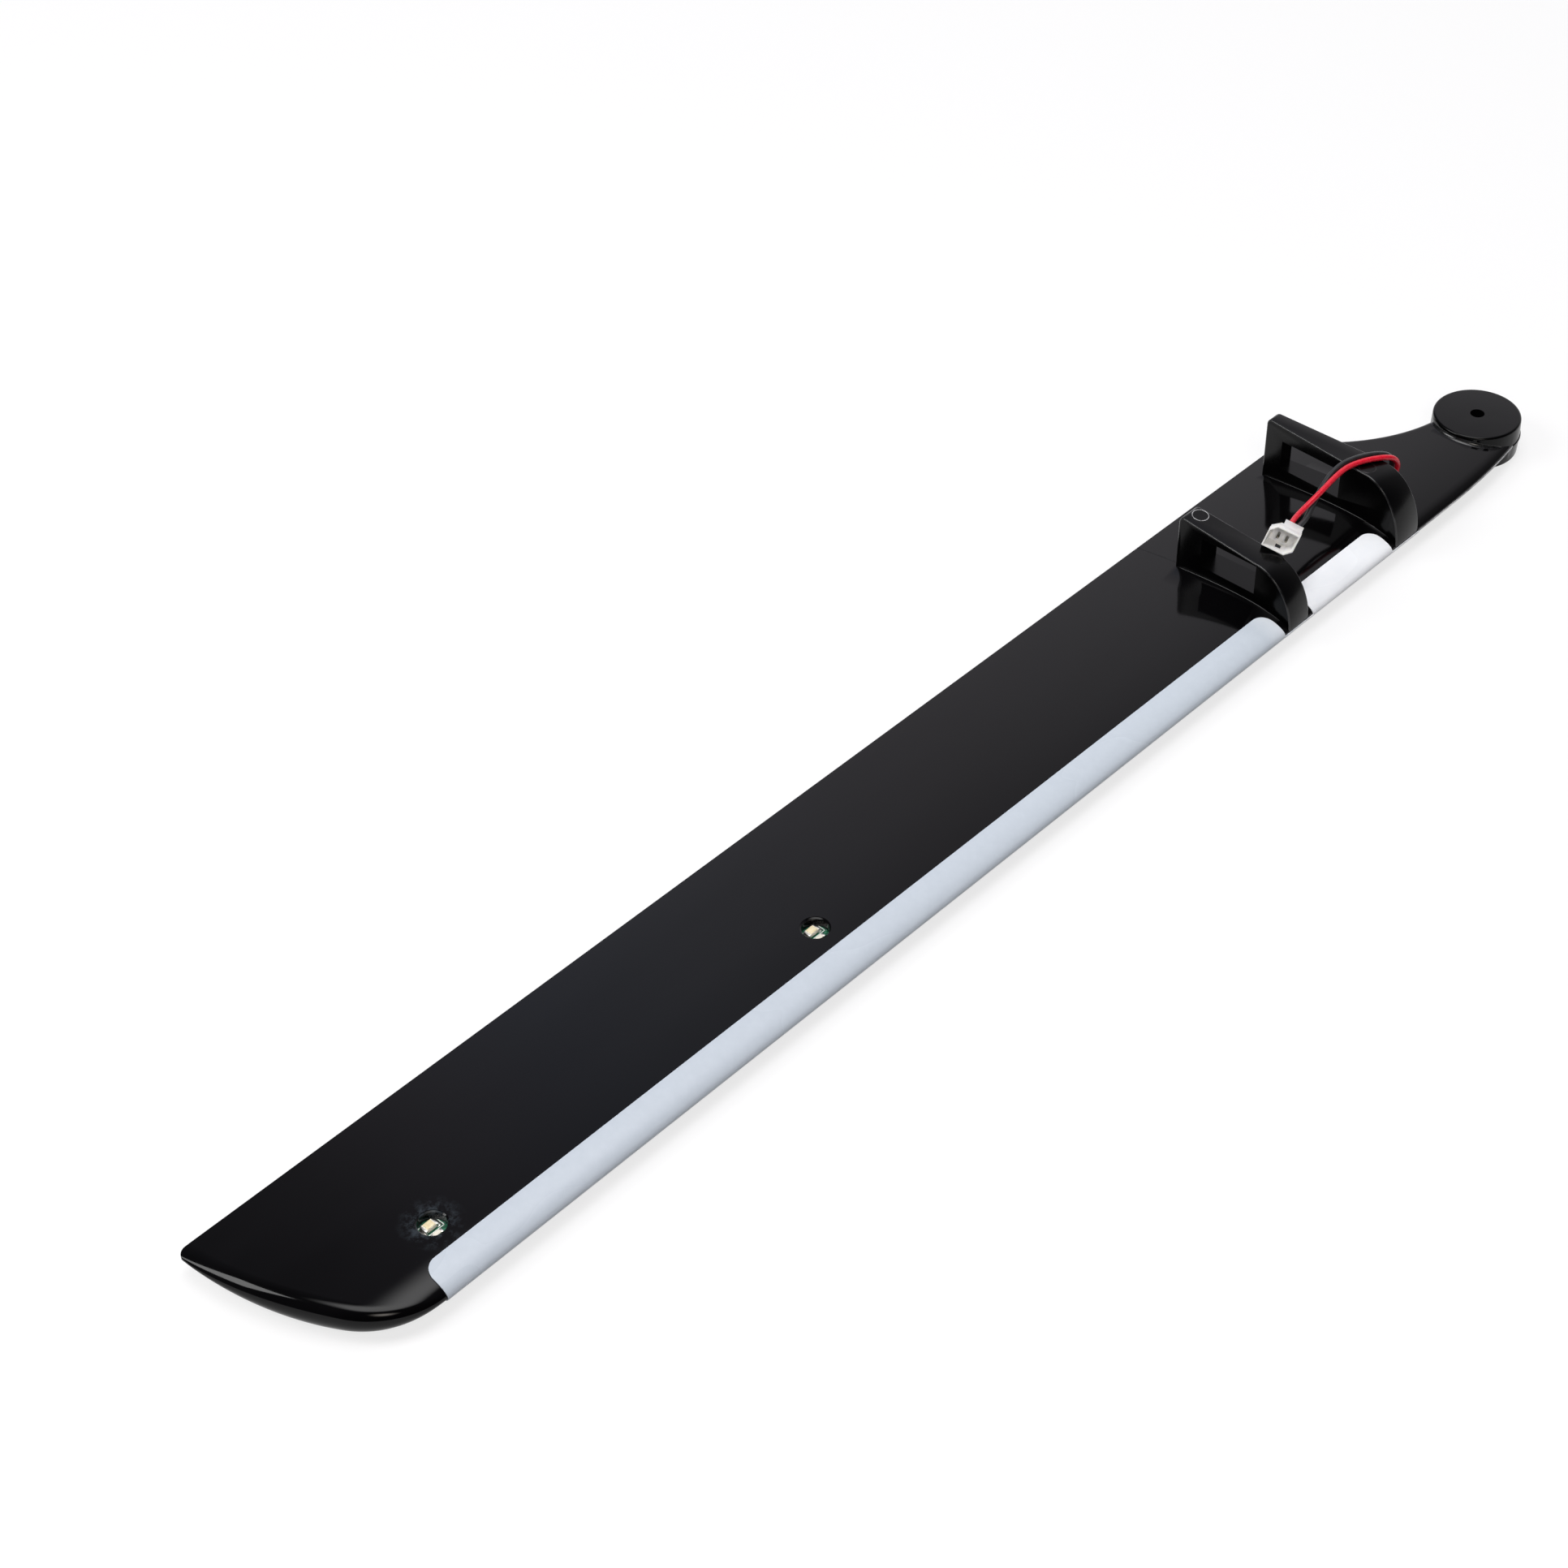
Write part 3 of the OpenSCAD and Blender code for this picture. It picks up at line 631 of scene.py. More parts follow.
def film_material():
    """Pale blue grey film, white at the root, with painted shade that darkens it towards the tip, and a
    faintly mottled gloss.
    """
    m = Nodes("pale_film")
    mottle = m.noise(900, 4.0, 0.6)
    grey = m.ramp(mottle, (0.3, (0.52, 0.575, 0.64)), (0.7, (0.545, 0.60, 0.665)))
    white = m.ramp(mottle, (0.3, (0.90, 0.925, 0.965)), (0.7, (0.93, 0.95, 0.98)))
    # Painted shade: the grey darkens from the outboard clip to the tip
    tip_painted_shade = m.ramp(mottle, (0.3, (0.45, 0.495, 0.555)), (0.7, (0.475, 0.52, 0.58)))
    split = m.tree.nodes.new("ShaderNodeSeparateXYZ")
    m.link(m.coords, split.inputs["Vector"])
    tip_shade_share = m.span(split.outputs["X"], 0.0, 1.0, FILM_WHITE_X[1] * MM, FILM_END * MM)
    along = m.span(split.outputs["X"], 0.0, 1.0, FILM_WHITE_X[0] * MM, FILM_WHITE_X[1] * MM)
    m.colour(m.mix(along, white, m.mix(tip_shade_share, grey, tip_painted_shade)))
    m.roughness(m.span(m.noise(70, 2.0, 0.5, (0.5, 1, 1)), 0.22, 0.32))
    m.bump((mottle, 0.03, 0.01), (m.noise(120, 1.0, 0.4, (0.3, 1.5, 1)), 0.06, 0.04))
    m.put(specular_ior_level=0.35)
    return m.material


def board_material():
    """Dark green solder mask with darker tracks."""
    m = Nodes("green_mask")
    tracks = m.noise(1500, 1.0, 0.3, (1, 3, 1))
    m.colour(m.ramp(tracks, (0.45, (0.010, 0.075, 0.040)), (0.55, (0.020, 0.14, 0.075))))
    m.roughness(m.span(tracks, 0.2, 0.35))
    m.bump((tracks, 0.3, 0.02))
    return m.material


def print_material():
    """White print on a board."""
    m = Nodes("white_print")
    m.colour(m.ramp(m.noise(4000), (0.3, (0.62, 0.68, 0.64)), (0.7, (0.8, 0.84, 0.8))))
    m.put(roughness=0.5)
    return m.material


def small_part_material(name, scales, dark, light, rough, **values):
    """Surface of a part on a light board, with fine noise of its own in colour and in roughness."""
    m = Nodes(name)
    m.colour(m.ramp(m.noise(scales[0]), (0.3, dark), (0.7, light)))
    m.roughness(m.span(m.noise(scales[1]), *rough))
    m.put(**values)
    return m.material


def wire_material(name, dark, light, low, high):
    """Soft wire insulation with fine lengthwise marks."""
    m = Nodes(name)
    grain = m.noise(1400, 3.0, 0.6)
    m.colour(m.ramp(grain, (0.3, dark), (0.7, light)))
    m.roughness(m.span(grain, low, high))
    m.bump((grain, 0.12, 0.012))
    m.put(ior=1.46)
    return m.material


def connector_material():
    """Warm white nylon that lets a little light in."""
    m = Nodes("white_nylon")
    mottle = m.noise(1600, 3.0, 0.6)
    m.colour(m.ramp(mottle, (0.3, (0.80, 0.79, 0.77)), (0.7, (0.87, 0.86, 0.845))))
    m.roughness(m.span(mottle, 0.32, 0.48))
    m.bump((mottle, 0.1, 0.012))
    m.put(subsurface_weight=0.2, subsurface_radius=[0.0008, 0.0007, 0.0005])
    return m.material


GLOSS_BLACK = blade_material()
SATIN_BLACK = clip_material()
# Edges of the black plastic, which catch more light than its faces: glossier, and painted lighter as a
# painted highlight
PAINTED_EDGE_HIGHLIGHT = worn_material(
    "painted_edge_highlight", 900, (0.003, 0.003, 0.003), (0.016, 0.016, 0.017), (0.12, 0.28),
    specular_ior_level=EDGE_GLOSS,
)
# Painted highlight: pale grey on the thin bead along the parting line of the root and on the outboard
# clip's mould mark
PAINTED_LINE_HIGHLIGHT = worn_material(
    "painted_line_highlight", 1200, (0.14, 0.14, 0.145), (0.5, 0.5, 0.51), (0.3, 0.5), (0.3, 1, 1)
)
PALE_FILM = film_material()
GREEN_MASK = board_material()
WHITE_PRINT = print_material()
# Tin of pads and terminals
BRIGHT_TIN = small_part_material(
    "bright_tin", (3000, 2500), (0.62, 0.6, 0.56), (0.8, 0.78, 0.74), (0.18, 0.4), metallic=1.0
)
# Plated steel of the connector's pins, painted darker than the tin as painted shade for the pins inside the
# cavity
PIN_METAL_PAINTED_SHADE = worn_material(
    "pin_metal_painted_shade", 2800, (0.16, 0.15, 0.13), (0.42, 0.40, 0.35), (0.12, 0.3), metallic=1.0
)
# Resin lens and ceramic body of a light chip
AMBER_RESIN = small_part_material(
    "amber_resin", (2200, 1800), (0.66, 0.55, 0.33), (0.78, 0.69, 0.47), (0.25, 0.45),
    subsurface_weight=0.15, subsurface_radius=[0.0006, 0.0004, 0.0002],
)
WHITE_CERAMIC = small_part_material(
    "white_ceramic", (2600, 2600), (0.70, 0.66, 0.56), (0.82, 0.78, 0.68), (0.4, 0.6)
)
RED_WIRE = wire_material("red_insulation", (0.60, 0.006, 0.022), (0.72, 0.012, 0.034), 0.22, 0.34)
BLACK_WIRE = wire_material("black_insulation", (0.012, 0.012, 0.013), (0.02, 0.02, 0.021), 0.28, 0.4)
WHITE_NYLON = connector_material()


# Blade, boss and clips


def cover_plan(margin):
    """Plan of the channel cover, with a wide head over each board."""
    front = CHANNEL_Y + COVER_W / 2 + margin
    back = CHANNEL_Y - COVER_W / 2 - margin
    head = BOARD_W / 2 + LEDGE + margin
    reach = BOARD_L / 2 + LEDGE + margin
    middles = [LIGHT_XS[k] - BOARD_SHIFT for k in ("mid", "tip")]
    plan = [(COVER_START - margin, back)]
    for m in middles:
        plan += [(m - reach - HEAD_SLOPE, back), (m - reach, -head)]
        plan += [(m + reach, -head), (m + reach + HEAD_SLOPE, back)]
    plan += [(COVER_END + margin, back), (COVER_END + margin, front)]
    for m in reversed(middles):
        plan += [(m + reach + HEAD_SLOPE, front), (m + reach, head)]
        plan += [(m - reach, head), (m - reach - HEAD_SLOPE, front)]
    return plan + [(COVER_START - margin, front)]


def boss_rings(steps=96):
    """Rings of the root boss from one face to the other, with a fillet to the blade's skin."""
    face_r = BOSS_R - BOSS_DRAFT
    edge = BOSS_EDGE
    quarter = math.pi / 2
    rim = []
    for t in spread(0, quarter, 8):
        rim.append((face_r - edge + edge * math.sin(t), BOSS_HALF - edge + edge * math.cos(t)))
    reach = BOSS_R + BOSS_FILLET
    columns = []
    for a in spread(0, 2 * math.pi, steps)[:-1]:
        skin = 0.0
        if math.cos(a) > 0:
            skin = blade_half(reach * math.cos(a), reach * math.sin(a))
        grow = BOSS_FILLET * min(skin / FILLET_SKIN, 1.0)
        wall = max(skin + grow, BOSS_WALL_MIN)
        column = list(rim)
        for t in spread(0, quarter, 6):
            column.append((BOSS_R + grow * (1 - math.cos(t)), wall - grow * math.sin(t) * FILLET_DIP))
        columns.append([(r * math.cos(a), r * math.sin(a), z) for r, z in column])
    side = [list(ring) for ring in zip(*columns)]
    return side + [[(x, y, -z) for x, y, z in ring] for ring in reversed(side)]


def clip_x(clip, y):
    """Outboard and inboard face of a clip at a distance across the chord."""
    t = (LE - y) / (LE + clip["end"])
    outer = clip["face"] - clip["lean"] * t
    inner_end = clip["face"] - clip["lean"] - clip["end_t"]
    inner = clip["face"] - clip["thick"]
    return outer, inner + (inner_end - inner) * t


def clip_top(clip, y):
    """Height of a clip's sloping top."""
    shoulder_y = LE - SHOULDER_RUN
    slope = (clip["end_h"] - clip["shoulder_h"]) / (shoulder_y + clip["end"])
    return clip["shoulder_h"] + slope * (shoulder_y - y)


def clip_body(name, clip):
    """One arched clip with its window, its edges rounded and painted lighter as a painted highlight."""
    shoulder_y = LE - SHOULDER_RUN
    quarter = [math.radians(a) for a in spread(0, 90, 24)]
    profile = [(shoulder_y + SHOULDER_RUN * math.cos(a), clip["shoulder_h"] * math.sin(a)) for a in quarter]
    corner_y = -clip["end"] + CLIP_CORNER_R
    corner_z = clip_top(clip, corner_y) - CLIP_CORNER_R
    profile += arc((corner_y, corner_z), CLIP_CORNER_R, 90, 180, 6)
    profile += [(-clip["end"], 0.0)]
    rings = [[(clip_x(clip, y)[side], y, z) for y, z in profile] for side in (1, 0)]
    body = dress(loft(name, rings), SATIN_BLACK, PAINTED_EDGE_HIGHLIGHT)
    round_edges(body, CLIP_EDGE, slot=1)
    window_y = -clip["end"] + clip["wall"]
    low = (clip["face"] - clip["thick"] - OVERCUT, window_y, WINDOW_SILL)
    high = (clip["face"] + OVERCUT, window_y + clip["window_w"], WINDOW_SILL + WINDOW_H)
    return combine(body, dress(box("window", low, high), SATIN_BLACK), "DIFFERENCE")


def clip_fillet(name, clip, side):
    """Small hollow fillet along one face of a clip, where it stands on the blade."""
    inset, sunk = 0.08, 0.012
    way = (1, -1)[side]
    rings = []
    for y in spread(LE - FOOT_ENDS[0], FOOT_ENDS[1] - clip["end"], 40):
        x = clip_x(clip, y)[side]
        r = CLIP_FILLET * min((LE - y) / FOOT_RUNS[0], (y + clip["end"]) / FOOT_RUNS[1], 1.0)
        ring = []
        for t in spread(0, math.pi / 2, 6):
            px = x + way * (r * (1 - math.cos(t)) - sunk)
            ring.append((px, y, blade_half(px, y) + r * (1 - math.sin(t)) - sunk))
        ring.append((px, y, ring[-1][2] - inset))
        ring.append((x - way * inset, y, blade_half(x, y) - inset))
        ring.append((x - way * inset, y, ring[0][2]))
        rings.append(ring)
    return loft(name, rings)


def ejector_ring(name, clip, mark):
    """Round witness line of a mould pin on a clip's top."""
    x, y, r = mark
    steps, sides = 48, 8
    rise = MARK_R * MARK_FLATNESS
    verts, faces = [], []
    for i in range(steps):
        a = 2 * math.pi * i / steps
        for k in range(sides):
            b = 2 * math.pi * (k + MARK_PHASE) / sides
            reach = r + MARK_R * math.cos(b)
            py = y + reach * math.sin(a)
            verts.append((x + reach * math.cos(a), py, clip_top(clip, py) + rise * math.sin(b)))
    for i in range(steps):
        for k in range(sides):
            j, n = (i + 1) % steps, (k + 1) % sides
            faces.append((i * sides + k, j * sides + k, j * sides + n, i * sides + n))
    return make_mesh(name, verts, faces)


def ridge(name, path, r, material, sides=8):
    """A fine closed bead along a path of points."""
    rings = []
    for i, point in enumerate(path):
        way = (Vector(path[min(i + 1, len(path) - 1)]) - Vector(path[max(i - 1, 0)])).normalized()
        across = Vector((-way.y, way.x, 0)).normalized()
        rise = way.cross(across)
        angles = [2 * math.pi * (k + BEAD_PHASE) / sides for k in range(sides)]
        rings.append([Vector(point) + r * (math.cos(a) * across + math.sin(a) * rise) for a in angles])
    return dress(loft(name, rings), material)


def mould_lines():
    """Lines left by the mould: round the boss, along the root and behind the outboard clip, the last two
    painted lighter as painted highlights.
    """
    film_x = FILM_ROOT_X + FILM_FRONT_RUN - FLASH_LAP
    root = [(x, outline(x)[0], 0.0) for x in [film_x * (1 - s) for s in spread(0, 1, 44)]]
    boss = [(x, y, 0.0) for x, y in arc((0.0, 0.0), BOSS_R, *PARTING_TURNS, 40)]
    clip = CLIPS["outboard"]
    seam_x = clip_x(clip, -clip["end"])[0] - SEAM_IN
    seam = [(seam_x, y, blade_half(seam_x, y)) for y in spread(-clip["end"], TE, 16)]
    return [
        ridge("flash", root, PARTING_R, PAINTED_LINE_HIGHLIGHT),
        ridge("parting", boss, PARTING_R, GLOSS_BLACK),
        ridge("seam", seam, SEAM_R, PAINTED_EDGE_HIGHLIGHT),
    ]


def build_blade():
    """The moulding with its root, clips, holes and channel, and the cover cut from the same skin."""
    skin = dress(loft("blade_moulding", [section_ring(x) for x in blade_stations()]), GLOSS_BLACK)
    cover = add_object("cover_strip", skin.data.copy())
    reach = HALF_T + OVERCUT
    combine(skin, prism("slot", cover_plan(FIT_GAP), -reach, LID_Z), "DIFFERENCE")
    groove_half = COVER_W / 2 - LEDGE
    low = (COVER_START + LEDGE - FIT_GAP, CHANNEL_Y - groove_half, -reach)
    high = (LIGHT_XS["tip"], CHANNEL_Y + groove_half, BOARD_FLOOR)
    combine(skin, box("groove", low, high), "DIFFERENCE")
    room = BOARD_L / 2 + FIT_GAP
    width = BOARD_W / 2 + FIT_GAP
    for x in LIGHT_XS.values():
        middle = x - BOARD_SHIFT
        pocket = box("pocket", (middle - room, -width, -reach), (middle + room, width, BOARD_SEAT))
        combine(skin, pocket, "DIFFERENCE")
        rim_z = blade_half(x, 0.0) - LOWER_RIM_DEPTH
        hole = [(LOWER_HOLE_R, 0.0), (LOWER_HOLE_R, rim_z)]
        hole += [(LOWER_RIM_R, rim_z + LOWER_RIM_SLOPE), (LOWER_RIM_R, reach)]
        combine(skin, turned("hole", hole, (x, 0.0)), "DIFFERENCE")
    ends = arc((EXIT_X, CHANNEL_Y + WIRE_PITCH / 2), EXIT_R, 0, 180)
    ends += arc((EXIT_X, CHANNEL_Y - WIRE_PITCH / 2), EXIT_R, 180, 360)
    combine(skin, prism("exit", ends, LID_Z - EXIT_LAP, reach), "DIFFERENCE")
    boss = dress(loft("boss", boss_rings()), SATIN_BLACK, PAINTED_EDGE_HIGHLIGHT)
    # The fillet round the boss's foot takes slot 1, the painted edge highlight
    for face in boss.data.polygons:
        on_fillet = face.center.xy.length > BOSS_R + 0.01
        face.material_index = int(on_fillet)
    combine(skin, boss, "UNION")
    bore = turned("bore", [(BORE_R, -BOSS_HALF - OVERCUT), (BORE_R, BOSS_HALF + OVERCUT)])
    combine(skin, bore, "DIFFERENCE")
    for key, clip in CLIPS.items():
        body = clip_body("clip_" + key, clip)
        mark = ejector_ring("mark_" + key, clip, EJECTOR_MARKS[key])
        # Mould mark rings are painted lighter as painted highlights: pale grey on the outboard clip, the
        # edge colour on the inboard one
        combine(body, dress(mark, PAINTED_LINE_HIGHLIGHT if key == "outboard" else PAINTED_EDGE_HIGHLIGHT), "UNION")
        for side in (0, 1):
            foot = clip_fillet("foot_" + key, clip, side)
            combine(body, dress(foot, GLOSS_BLACK), "UNION")
        combine(skin, body, "UNION")
    for bead in mould_lines():
        combine(skin, bead, "UNION")
    finish_piece(skin, "blade")

    combine(cover, prism("strip", cover_plan(0.0), -reach, LID_Z), "INTERSECT")
    for x in LIGHT_XS.values():
        rim_z = -blade_half(x, 0.0) + UPPER_RIM_DEPTH
        hole = [(UPPER_RIM_R, -reach), (UPPER_RIM_R, rim_z), (UPPER_HOLE_R, rim_z), (UPPER_HOLE_R, 0.0)]
        combine(cover, turned("hole", hole, (x, 0.0)), "DIFFERENCE")
    finish_piece(cover, "channel_cover")


# Film


def film_section(offset):
    """Open section line at an offset from the skin, from the upper face round the nose."""
    first = -math.sqrt((LE + (PANEL_BACK + FILM_SPARE)) / CHORD)
    last = math.sqrt((LE - (STRIP_FRONT - FILM_SPARE)) / CHORD)
    small = 1e-4
    line = []
    for s in spread(first, last, 72):
        here, ahead = [
            (LE - CHORD * t * t, math.copysign(foil_half(CHORD * t * t), t)) for t in (s - small, s + small)
        ]
        along = Vector((ahead[0] - here[0], ahead[1] - here[1])).normalized()
        middle = ((here[0] + ahead[0]) / 2, (here[1] + ahead[1]) / 2)
        line.append((middle[0] + along.y * offset, middle[1] - along.x * offset))
    return line


def upper_plan():
    """Plan of the film on the upper face, with its wide root panel."""
    front = LE + OVERCUT
    panel_x = FILM_ROOT_X + PANEL_LEAN
    slant_x = PANEL_END + PANEL_SLANT
    plan = [(FILM_END, front), (FILM_ROOT_X + FILM_FRONT_RUN, front), (FILM_ROOT_X, FILM_KNEE_Y)]
    plan += [(panel_x, -PANEL_BACK + FILM_R)]
    plan += arc((panel_x + FILM_R, -PANEL_BACK + FILM_R), FILM_R, 180, 270)[1:]
    plan += [(PANEL_END, -PANEL_BACK), (slant_x, -FILM_BACK - SLANT_EASE[1])]
    plan += [(slant_x + SLANT_EASE[0], -FILM_BACK)]
    plan += arc((FILM_END - FILM_R, -FILM_BACK + FILM_R), FILM_R, -90, 0)
    return plan


def strip_plan(start, end):
    """Plan of one underside strip with round inner corners."""
    plan = [(end, LE + OVERCUT), (start, LE + OVERCUT)]
    plan += arc((start + FILM_R, STRIP_FRONT + FILM_R), FILM_R, 180, 270)
    plan += arc((end - FILM_R, STRIP_FRONT + FILM_R), FILM_R, 270, 360)
    return plan


def build_film():
    """The wrap film as one thin shell, trimmed to its plan on both faces."""
    line = film_section(FILM_OUT) + film_section(FILM_IN)[::-1]
    xs = spread(FILM_ROOT_X - FILM_RUNOUT, FILM_END + FILM_RUNOUT, 40)
    film = loft("film_wrap", [[(x, y, z) for y, z in line] for x in xs])
    reach = HALF_T + 2 * OVERCUT
    trim = prism("upper", upper_plan(), -reach, 0.0)
    out_clip, in_clip = CLIPS["outboard"], CLIPS["inboard"]
    ranges = (
        (out_clip["face"] + STRIP_GAP, FILM_END),
        (in_clip["face"] + STRIP_GAP, out_clip["face"] - out_clip["thick"] - STRIP_GAP),
    )
    for start, end in ranges:
        combine(trim, prism("strip", strip_plan(start, end), -FILM_LAP, reach), "UNION")
    combine(film, trim, "INTERSECT")
    for x in LIGHT_XS.values():
        combine(film, turned("hole", [(FILM_HOLE_R, -reach), (FILM_HOLE_R, 0.0)], (x, 0.0)), "DIFFERENCE")
    finish_piece(dress(film, PALE_FILM), "wrap_film")


# Lights


def slab(name, middle, size, material, edge=0.0):
    """A small block about a middle point, with rounded edges."""
    low = [m - s / 2 for m, s in zip(middle, size)]
    high = [m + s / 2 for m, s in zip(middle, size)]
    obj = box(name, low, high)
    if edge:
        round_edges(obj, edge, 2)
    return dress(obj, material)


def build_board(key):
    """A light board with tinned pads and printed frames round the chips on both faces."""
    x = LIGHT_XS[key]
    thick = BOARD_SEAT - BOARD_FLOOR
    middle = (x - BOARD_SHIFT, 0, (BOARD_FLOOR + BOARD_SEAT) / 2)
    parts = [slab("mask", middle, (BOARD_L, BOARD_W, thick), GREEN_MASK, BOARD_EDGE)]
    for face, level in (("upper", BOARD_FLOOR), ("lower", BOARD_SEAT)):
        low, high = node_box(f"{key}_{face}_light")
        y = (low[1] + high[1]) / 2
        long, wide = high[0] - low[0], high[1] - low[1]
        pad = (PAD_LONG, wide + PAD_SPARE, PAD_HIGH)
        across = (PRINT_LINE, wide + PRINT_SPARE[1], PRINT_HIGH)
        along = (long + PRINT_SPARE[0], PRINT_LINE, PRINT_HIGH)
        for side in (-1, 1):
            pad_x = x + side * (long / 2 + PAD_OUT)
            parts.append(slab("pad", (pad_x, y, level), pad, BRIGHT_TIN, PAD_EDGE))
            frame_x, frame_y = x + side * (long / 2 + PRINT_OUT[0]), y + side * (wide / 2 + PRINT_OUT[1])
            parts.append(slab("line", (frame_x, y, level), across, WHITE_PRINT))
            parts.append(slab("line", (x, frame_y, level), along, WHITE_PRINT))
        if face == "lower":
            part_y = y + wide / 2 + PART_OUT
            for side in (-1, 1):
                end = (x + side * PART_END_OUT, part_y, level + PART_END_RISE)
                parts.append(slab("end", end, PART_END_SIZE, BRIGHT_TIN, BOARD_EDGE))
            place = (x, part_y, level + PART_RISE)
            parts.append(slab("part", place, PART_SIZE, WHITE_CERAMIC, BOARD_EDGE))
    finish_piece(joined(key + "_board", parts), key + "_light_board")


def build_chip(key, face):
    """A light chip: ceramic body, amber lens and tinned ends."""
    node = f"{key}_{face}_light"
    low, high = node_box(node)
    middle = [(a + b) / 2 for a, b in zip(low, high)]
    size = [b - a for a, b in zip(low, high)]
    side = 1 if face == "lower" else -1
    body, lens, end = [[s * k for s, k in zip(size, part)] for part in (CHIP_BODY, CHIP_LENS, CHIP_END)]
    parts = [slab("body", middle, body, WHITE_CERAMIC, CHIP_EDGE)]
    place = (middle[0], middle[1], middle[2] + side * size[2] * LENS_RISE)
    parts.append(slab("lens", place, lens, AMBER_RESIN, LENS_EDGE))
    for way in (-1, 1):
        place = (middle[0] + way * size[0] * END_OUT, middle[1], middle[2] - side * size[2] * END_DROP)
        parts.append(slab("end", place, end, BRIGHT_TIN, CHIP_EDGE))
    finish_piece(joined(f"{key}_{face}_chip", parts), node)


# Leads and connector


def build_lead(name, route, material):
    """One wire of the lead as a round curve along its route."""
    curve = bpy.data.curves.new(name, "CURVE")
    curve.dimensions = "3D"
    curve.bevel_depth = WIRE_D / 2 * MM
    curve.bevel_resolution = 6
    curve.resolution_u = 6
    curve.use_fill_caps = True
    spline = curve.splines.new("NURBS")
    spline.points.add(len(route) - 1)
    for point, place in zip(spline.points, route):
        point.co = (*[c * MM for c in place], 1)
    spline.order_u = 4
    spline.use_endpoint_u = True
    curve.materials.append(material)
    return add_object(name, curve)


def at_connector(obj):
    """Move a piece from the connector's own frame to its place."""
    turn = Euler([math.radians(a) for a in CONN_TURN], "XYZ").to_matrix().to_4x4()
    obj.data.transform(Matrix.Translation(CONN_POS) @ turn)
    return obj


def along_x(name, outline_yz, start, end):
    """An outline in Y and Z extruded along X."""
    return loft(name, [[(x, y, z) for y, z in outline_yz] for x in (start, end)])


def cut_corners(w, h, cut):
    """Outline of the mouth in Y and Z with two opposite corners cut off."""
    return [(w, h), (-w + cut, h), (-w, h - cut), (-w, -h), (w - cut, -h), (w, -h + cut)]


def build_housing(back):
    """White two pin housing with its wire block, wire entry, key slot and latch groove."""
    w, h = CONN_W / 2, CONN_H / 2
    body = along_x("connector", cut_corners(w, h, CONN_CHAMFER), -CONN_FLANGE, 0.0)
    rear = cut_corners(w - REAR_INSET, h - REAR_INSET, REAR_CHAMFER)
    rear = [(y, min(z, h - BLOCK_STEP)) for y, z in rear]
    combine(body, along_x("rear", rear, -CONN_MOUTH, CONN_LAP - CONN_FLANGE), "UNION")
    block_y = (CONN_W - CONN_BLOCK_W) / 2
    block_z = (CONN_H - CONN_BLOCK_H) / 2
    floor_x = CONN_WALL - CONN_MOUTH
    low = (back, block_y - CONN_BLOCK_W / 2, block_z - CONN_BLOCK_H / 2)
    block_front = block_y + CONN_BLOCK_W / 2 - BLOCK_INSET
    high = (floor_x, block_front, block_z + CONN_BLOCK_H / 2 - BLOCK_STEP)
    combine(body, box("block", low, high), "UNION")
    inner_h = h - CONN_WALL
    slope = (CONN_WALL - CONN_LIP) / floor_x
    rings = []
    for x in (floor_x, CAVITY_OUT):
        wall = CONN_LIP + slope * x
        cut = CONN_CHAMFER - (2 - math.sqrt(2)) * wall
        rings.append([(x, y, z) for y, z in cut_corners(w - wall, h - wall, cut)])
    combine(body, loft("cavity", rings), "DIFFERENCE")
    low = (KEY_END, -KEY_W / 2, -h - OVERCUT)
    combine(body, box("key", low, (KEY_START, KEY_W / 2, KEY_TOP - inner_h)), "DIFFERENCE")
    low = (-CONN_MOUTH - CONN_LAP, -KEY_W / 2, -h - OVERCUT)
    combine(body, box("latch", low, (KEY_START, KEY_W / 2, -inner_h - KEY_WALL)), "DIFFERENCE")
    entry = []
    for side, turn in ((1, -90), (-1, 90)):
        middle = (block_y + side * WIRE_PITCH / 2, block_z)
        entry += arc(middle, WIRE_D / 2 + SOCKET_GAP, turn, turn + 180, 12)
    combine(body, along_x("entry", entry, back - OVERCUT, back + WIRE_SOCKET), "DIFFERENCE")
    round_edges(body, CONN_EDGE, 2, 30)
    at_connector(dress(body, WHITE_NYLON))
    return finish_piece(body, "connector_housing")


def build_pin(node, side, back):
    """One contact of the connector, tapered to its tip."""
    y = side * PIN_PITCH / 2
    stations = [(back + WIRE_SOCKET + CONN_WALL, 1.0)] + [(PIN_TIP - d, share) for d, share in PIN_TAPER]
    rings = []
    for x, share in stations:
        a = PIN_SIDE / 2 * share
        rings.append([(x, y + a, a), (x, y - a, a), (x, y - a, -a), (x, y + a, -a)])
    pin = round_edges(loft(node + "_bar", rings), PIN_EDGE, 2)
    at_connector(dress(pin, PIN_METAL_PAINTED_SHADE))
    return finish_piece(pin, node)


def build_connector():
    """The housing and its two pins."""
    back = -CONN_MOUTH - CONN_BLOCK
    body = build_housing(back)
    return body, [build_pin("positive_pin", -1, back), build_pin("negative_pin", 1, back)]


def build_leads(pins):
    """Both free wires, as round curves along their routes to the connector."""
    rows = (("red", RED_ROUTE, RED_WIRE, pins[0]), ("black", BLACK_ROUTE, BLACK_WIRE, pins[1]))
    for colour, route, material, pin in rows:
        wire = build_lead(colour + "_wire", route, material)
        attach(wire, "root")
        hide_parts(colour + "_lead")


def dress_inner_wires():
    """Insulation on the wires under the cover."""
    for end in ("feed", "link"):
        for pole, material in (("positive", RED_WIRE), ("negative", BLACK_WIRE)):
            dress(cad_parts[f"{pole}_{end}_wire"], material)


# Studio

